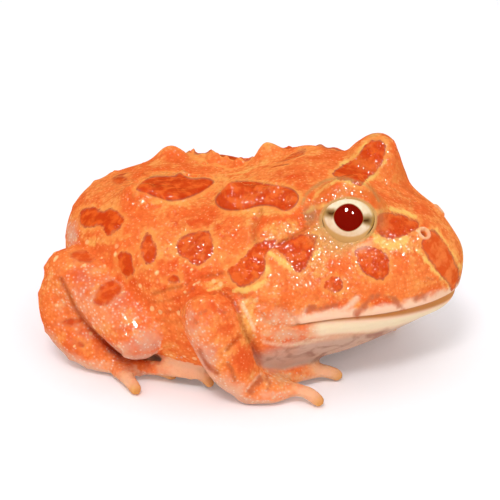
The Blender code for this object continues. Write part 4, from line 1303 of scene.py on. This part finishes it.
    # About the eye: a brown and golden margin, a pale halo below, grey-brown painted shade in the corners;
    # a pale ring and a shaded pit at the nostril
    openings = (
        ("share", "MULTIPLY", "lid", 0.5),
        ("base", "layer", "share", "base", "#e07634"),
        ("share", "MULTIPLY_ADD", "ragged", 0.5, "tan"),
        ("share", "step", "share", 0.35, -0.35, 0.65),
        ("base", "layer", "share", "base", "#b98d55"),
        ("share", "MULTIPLY", "halo", 0.35),
        ("base", "layer", "share", "base", "#f6d2b8"),
        # Painted shade: grey-brown in the corners of the eye
        ("share", "MULTIPLY", "corner_shade", 0.7),
        ("base", "layer", "share", "base", "#a57f58"),
        ("share", "MULTIPLY", "margin", 0.85),
        ("base", "layer", "share", "base", "#c9a063"),
        ("share", "step", "nostril", 1.3, 1.0, 0.85),
        ("limit", "step", "nostril", 0.5, 0.75, 1.0),
        ("share", "MULTIPLY", "share", "limit"),
        ("base", "layer", "share", "base", "#f5bc8e"),
        ("share", "step", "nostril", 0.62, 0.25, 0.85),
        ("base", "layer", "share", "base", "#b3562a"),
    )
    # Relief of the granules under the skin, and of the slime that follows only their domes
    relief = (
        ("hills", "step", "grain", 0.62, 0.0, 1.0),
        ("rough", "MULTIPLY_ADD", "fleck", 0.9, "hills"),
        ("rough", "MULTIPLY_ADD", "grit", 0.5, "rough"),
        ("even", "MULTIPLY", "plate", 0.45),
        ("even", "MAXIMUM", "belly", "even"),
        ("even", "MAXIMUM", "band", "even"),
        ("even", "MAXIMUM", "tip", "even"),
        ("even", "MULTIPLY_ADD", "even", -0.75, 1.0),
        ("rough", "MULTIPLY", "rough", "even"),
        ("bump", "bump", "rough", 0.5, 0.0002),
        ("domes", "step", "drops", 0.75, 0.0, 1.0),
        ("domes", "MULTIPLY_ADD", "fleck", 0.4, "domes"),
        ("slick", "bump", "domes", 1.0, 0.00024),
        ("film", "step", "cloud", 0.36, 0.54, 0.8),
        ("film", "MULTIPLY_ADD", "film", "wet", 0.04),
    )
    for rows in (clouds, flesh, lines, limbs, lips, patches, openings, relief):
        add_rows(tree, values, rows)
    finish = {
        "Base Color": values["base"],
        "Normal": values["bump"],
        "Coat Normal": values["slick"],
        "Roughness": 0.5,
        "IOR": 1.38,
        "Specular IOR Level": 0.0,
        "Subsurface Weight": 0.2,
        "Subsurface Radius": (1.0, 0.35, 0.15),
        "Subsurface Scale": 0.0010,
        "Coat Weight": values["film"],
        "Coat Roughness": 0.13,
        "Coat IOR": 1.38,
    }
    shader = add(tree, "ShaderNodeBsdfPrincipled", finish)
    add(tree, "ShaderNodeOutputMaterial", {"Surface": (shader, "BSDF")})
    return material


def eyeball_mesh(side, rings, sides):
    """A ball with rings about the gaze and a low bulge, the cornea: r = R + c exp(-(angle / w)^2)."""
    gaze = GAZE * (1, side, 1)
    up = np.array((0.0, 0.0, 1.0)) - gaze * gaze[2]
    up /= np.linalg.norm(up)
    fore = np.cross(gaze, up)
    u = np.linspace(0, math.pi, rings + 2)[1:-1, None, None]
    v = np.linspace(0, 2 * math.pi, sides, endpoint=False)[None, :, None]
    way = gaze * np.cos(u) + (fore * np.cos(v) + up * np.sin(v)) * np.sin(u)
    radius = EYE_RADIUS + 0.12 * np.exp(-((u / 0.55) ** 2))
    return closed_mesh("eyeball", [way * radius + EYE_CENTRE * (1, side, 1)])


def eye_material(sizes):
    """A frog's eye: cornea as smooth as wet glass over a cream iris and a deep red pupil."""
    material, tree = node_tree("glassy_eye")
    values = {"iris": (*sizes.iris, 1.0), "pupil": (*sizes.pupil, 1.0)}
    values["place"] = (add(tree, "ShaderNodeTexCoord", {}), "Object")
    for name in ("fore", "up"):
        values[name] = (add(tree, "ShaderNodeAttribute", {}, attribute_name=name), "Fac")
    rows = (
        ("fibre", "noise", "place", 1 / 0.0007, 4.0, 0.0),
        ("soft", "noise", "place", 1 / 0.0022, 2.0, 0.0),
        ("beside", "ABSOLUTE", "fore"),
        ("across", "DIVIDE", "fore", EYE_SPAN[0]),
        ("across", "MULTIPLY", "across", "across"),
        ("out", "DIVIDE", "up", EYE_SPAN[1]),
        ("out", "MULTIPLY_ADD", "out", "out", "across"),
        ("out", "SQRT", "out"),
        # Cream, with tan painted shade at its foot, and golden near its edge
        ("share", "step", "fibre", 0.35, 0.62, 0.6),
        ("colour", "layer", "share", "iris", "#faecd2"),
        # Painted shade: tan at the foot of the iris
        ("share", "step", "up", -0.1, -0.55, 0.4),
        ("colour", "layer", "share", "colour", "#dcab7a"),
        ("share", "step", "out", 0.80, 0.92, 0.85),
        ("colour", "layer", "share", "colour", "#d2a258"),
        # Brown smudges before and behind the pupil in a wider golden smear
        ("level", "ADD", "soft", -0.5),
        ("level", "MULTIPLY_ADD", "level", 0.35, "up"),
        ("level", "ABSOLUTE", "level"),
        ("share", "step", "level", 0.27, 0.08, 0.85),
        ("limit", "step", "beside", 0.35, 0.55, 1.0),
        ("share", "MULTIPLY", "share", "limit"),
        ("colour", "layer", "share", "colour", "#b88a3e"),
        ("share", "step", "level", 0.20, -0.02, 1.0),
        ("limit", "step", "beside", 0.92, 0.60, 1.0),
        ("share", "MULTIPLY", "share", "limit"),
        ("colour", "layer", "share", "colour", "#472208"),
        # The edge of the cornea is dark beside the iris
        ("share", "step", "out", 0.92, 0.99, 1.0),
        ("limit", "step", "beside", 0.72, 0.92, 0.9),
        ("share", "MULTIPLY", "share", "limit"),
        ("colour", "layer", "share", "colour", "#3d2e1c"),
        # Pupil: a rounded lozenge, |fore / a|^1.85 + |up / b|^1.85 < 1
        ("width", "DIVIDE", "beside", PUPIL[0]),
        ("width", "POWER", "width", 1.85),
        ("height", "ABSOLUTE", "up"),
        ("height", "DIVIDE", "height", PUPIL[1]),
        ("height", "POWER", "height", 1.85),
        ("hole", "ADD", "width", "height"),
        ("share", "step", "hole", 1.16, 1.03, 0.7),
        ("colour", "layer", "share", "colour", "#b3742c"),
        ("share", "step", "hole", 1.05, 0.97, 1.0),
        ("colour", "layer", "share", "colour", "pupil"),
    )
    add_rows(tree, values, rows)
    finish = {
        "Base Color": values["colour"],
        "Roughness": 0.6,
        "IOR": 1.38,
        "Specular IOR Level": 0.0,
        "Coat Weight": 1.0,
        "Coat Roughness": 0.015,
        "Coat IOR": 1.4,
    }
    shader = add(tree, "ShaderNodeBsdfPrincipled", finish)
    add(tree, "ShaderNodeOutputMaterial", {"Surface": (shader, "BSDF")})
    return material


def finish_piece(mesh, name, material, nodes):
    """Turns a mesh in millimetres into a piece of the object: metres, smooth, with its finish."""
    points = (read_points(mesh) + SHIFT) * MM
    write_points(mesh, points)
    mesh.polygons.foreach_set("use_smooth", [True] * len(mesh.polygons))
    mesh.materials.clear()
    mesh.materials.append(material)
    mesh.name = name
    piece = bpy.data.objects.new(name, mesh)
    bpy.context.scene.collection.objects.link(piece)
    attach(piece, "root")
    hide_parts(*nodes)


class FROG_OT_skin(bpy.types.Operator):
    """Builds the frog's whole skin over every solid of flesh."""

    bl_idname = "frog.skin"
    bl_label = "Skin"

    def execute(self, context):
        sizes = context.scene.frog_skin
        mesh = build_skin_mesh(sizes.voxel / MM)
        skin = Skin(mesh)
        for chart in (chart_marks, chart_mouth, chart_tints, chart_digits, chart_openings):
            chart(mesh, skin)
        flesh = [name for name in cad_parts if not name.startswith("eye_")]
        finish_piece(mesh, "frog_skin", frog_skin_material(sizes), flesh)
        return {"FINISHED"}


class FROG_OT_eyes(bpy.types.Operator):
    """Builds both eyeballs with their irises and pupils."""

    bl_idname = "frog.eyes"
    bl_label = "Eyes"

    def execute(self, context):
        material = eye_material(context.scene.frog_eyes)
        for side, word in SIDES.items():
            mesh = eyeball_mesh(side, *EYE_GRID)
            _, fore, up = eye_angles(read_points(mesh), side)
            fore, up = fore - PUPIL_MIDDLE[0], up - PUPIL_MIDDLE[1]
            put_attribute(mesh, "fore", fore * math.cos(PUPIL_TURN) - up * math.sin(PUPIL_TURN))
            put_attribute(mesh, "up", up * math.cos(PUPIL_TURN) + fore * math.sin(PUPIL_TURN))
            finish_piece(mesh, f"eyeball_{word}", material, [f"eye_{word}"])
        return {"FINISHED"}


def glint_direction(pixel):
    """Way from the right eye to a lamp whose glint shows at a pixel: the view turned over the normal."""
    u, v = (np.array(pixel) - MIDDLE) * MM_PER_PIXEL
    ray = RIGHTWARD * u - UPWARD * v - BACKWARD * CAMERA_DISTANCE
    ray /= np.linalg.norm(ray)
    off = CAMERA_PLACE - EYE_CENTRE * (1, -1, 1)
    half = off @ ray
    reach = -half - math.sqrt(half**2 - off @ off + EYE_RADIUS**2)
    normal = (off + ray * reach) / EYE_RADIUS
    return ray - 2 * (ray @ normal) * normal


def area_light(name, place, target, size, power):
    """A square soft light that faces its target."""
    lamp = bpy.data.lights.new(name, "AREA")
    lamp.size = size
    lamp.energy = power
    light = bpy.data.objects.new(name, lamp)
    light.location = place
    light.rotation_mode = "QUATERNION"
    light.rotation_quaternion = (Vector(target) - Vector(place)).to_track_quat("-Z", "Y")
    bpy.context.scene.collection.objects.link(light)
    return light


class FROG_OT_stage(bpy.types.Operator):
    """Makes the pale floor, the soft studio light and the photograph's camera."""

    bl_idname = "frog.stage"
    bl_label = "Stage"

    def execute(self, context):
        scene = context.scene
        stage = scene.frog_stage
        half = stage.floor / 2
        mesh = bpy.data.meshes.new("floor")
        corners = [(-half, -half, 0), (half, -half, 0), (half, half, 0), (-half, half, 0)]
        mesh.from_pydata(corners, [], [(0, 1, 2, 3)])
        floor = bpy.data.objects.new("floor", mesh)
        scene.collection.objects.link(floor)
        # White paper, matt, lit until it is almost blown out
        material, tree = node_tree("white_paper_sweep")
        paper = {"Base Color": paint("#f6f4f8"), "Roughness": 0.7, "Specular IOR Level": 0.0}
        paper |= {"Emission Color": paint("#ffffff"), "Emission Strength": 0.1}
        shader = add(tree, "ShaderNodeBsdfPrincipled", paper)
        add(tree, "ShaderNodeOutputMaterial", {"Surface": (shader, "BSDF")})
        mesh.materials.append(material)
        floor.visible_glossy = False

        world = bpy.data.worlds.new("studio")
        scene.world = world
        world.use_nodes = True
        world.node_tree.nodes.clear()
        sky = add(world.node_tree, "ShaderNodeBackground", {"Color": paint("#ffffff"), "Strength": 0.58})
        add(world.node_tree, "ShaderNodeOutputWorld", {"Surface": (sky, "Background")})
        # The room itself is dark in the glints of wet skin: only the two lamps show in them
        world.cycles_visibility.glossy = False

        middle = Vector(FROG_MIDDLE)
        for name, pixel, size, share, sparkle in LAMPS:
            place = middle + Vector(glint_direction(pixel)) * LAMP_DISTANCE
            soft = area_light(name, place, middle, size * SOFTER, stage.light * share)
            soft.visible_glossy = False
            # The flash tube in the same lamp, far brighter than the soft light, shows only as glints
            before = place.lerp(middle, FLASH_BEFORE)
            flash = area_light(f"{name}_flash", before, middle, size, stage.light * sparkle)
            flash.visible_diffuse = False
        place, size, share = OVERHEAD
        wide = area_light("overhead_panel", Vector(place), middle, size, stage.light * share)
        wide.visible_glossy = False

        back = Vector(BACKWARD)
        lens = bpy.data.cameras.new("camera")
        lens.sensor_width = 36
        lens.lens = 36 * CAMERA_DISTANCE / (FRAME_PIXELS * MM_PER_PIXEL)
        lens.clip_start = 0.001
        camera = bpy.data.objects.new("camera", lens)
        camera.location = (CAMERA_PLACE + SHIFT) * MM
        camera.rotation_mode = "QUATERNION"
        camera.rotation_quaternion = (-back).to_track_quat("-Z", "Y")
        scene.collection.objects.link(camera)
        scene.camera = camera
        scene.view_settings.view_transform = "Standard"
        return {"FINISHED"}


class FROG_PT_panel(bpy.types.Panel):
    """Lists the frog's sizes and the operators that build it."""

    bl_idname = "FROG_PT_panel"
    bl_label = "Horned frog"
    bl_space_type = "VIEW_3D"
    bl_region_type = "UI"
    bl_category = "Frog"

    def draw(self, context):
        scene = context.scene
        for group in (scene.frog_skin, scene.frog_eyes, scene.frog_stage):
            for name in group.__annotations__:
                self.layout.prop(group, name)
        for operator in ("frog.skin", "frog.eyes", "frog.stage"):
            self.layout.operator(operator)


CLASSES = (FrogSkin, FrogEyes, FrogStage, FROG_OT_skin, FROG_OT_eyes, FROG_OT_stage, FROG_PT_panel)


def register():
    """Registers the classes and hangs the settings on the scene."""
    for made in CLASSES:
        bpy.utils.register_class(made)
    bpy.types.Scene.frog_skin = PointerProperty(type=FrogSkin)
    bpy.types.Scene.frog_eyes = PointerProperty(type=FrogEyes)
    bpy.types.Scene.frog_stage = PointerProperty(type=FrogStage)


def unregister():
    """Takes the settings and classes away again."""
    del bpy.types.Scene.frog_stage
    del bpy.types.Scene.frog_eyes
    del bpy.types.Scene.frog_skin
    for made in reversed(CLASSES):
        bpy.utils.unregister_class(made)


def main():
    """Builds every piece and the studio."""
    register()
    bpy.ops.frog.skin()
    bpy.ops.frog.eyes()
    bpy.ops.frog.stage()


if __name__ == "__main__":
    main()
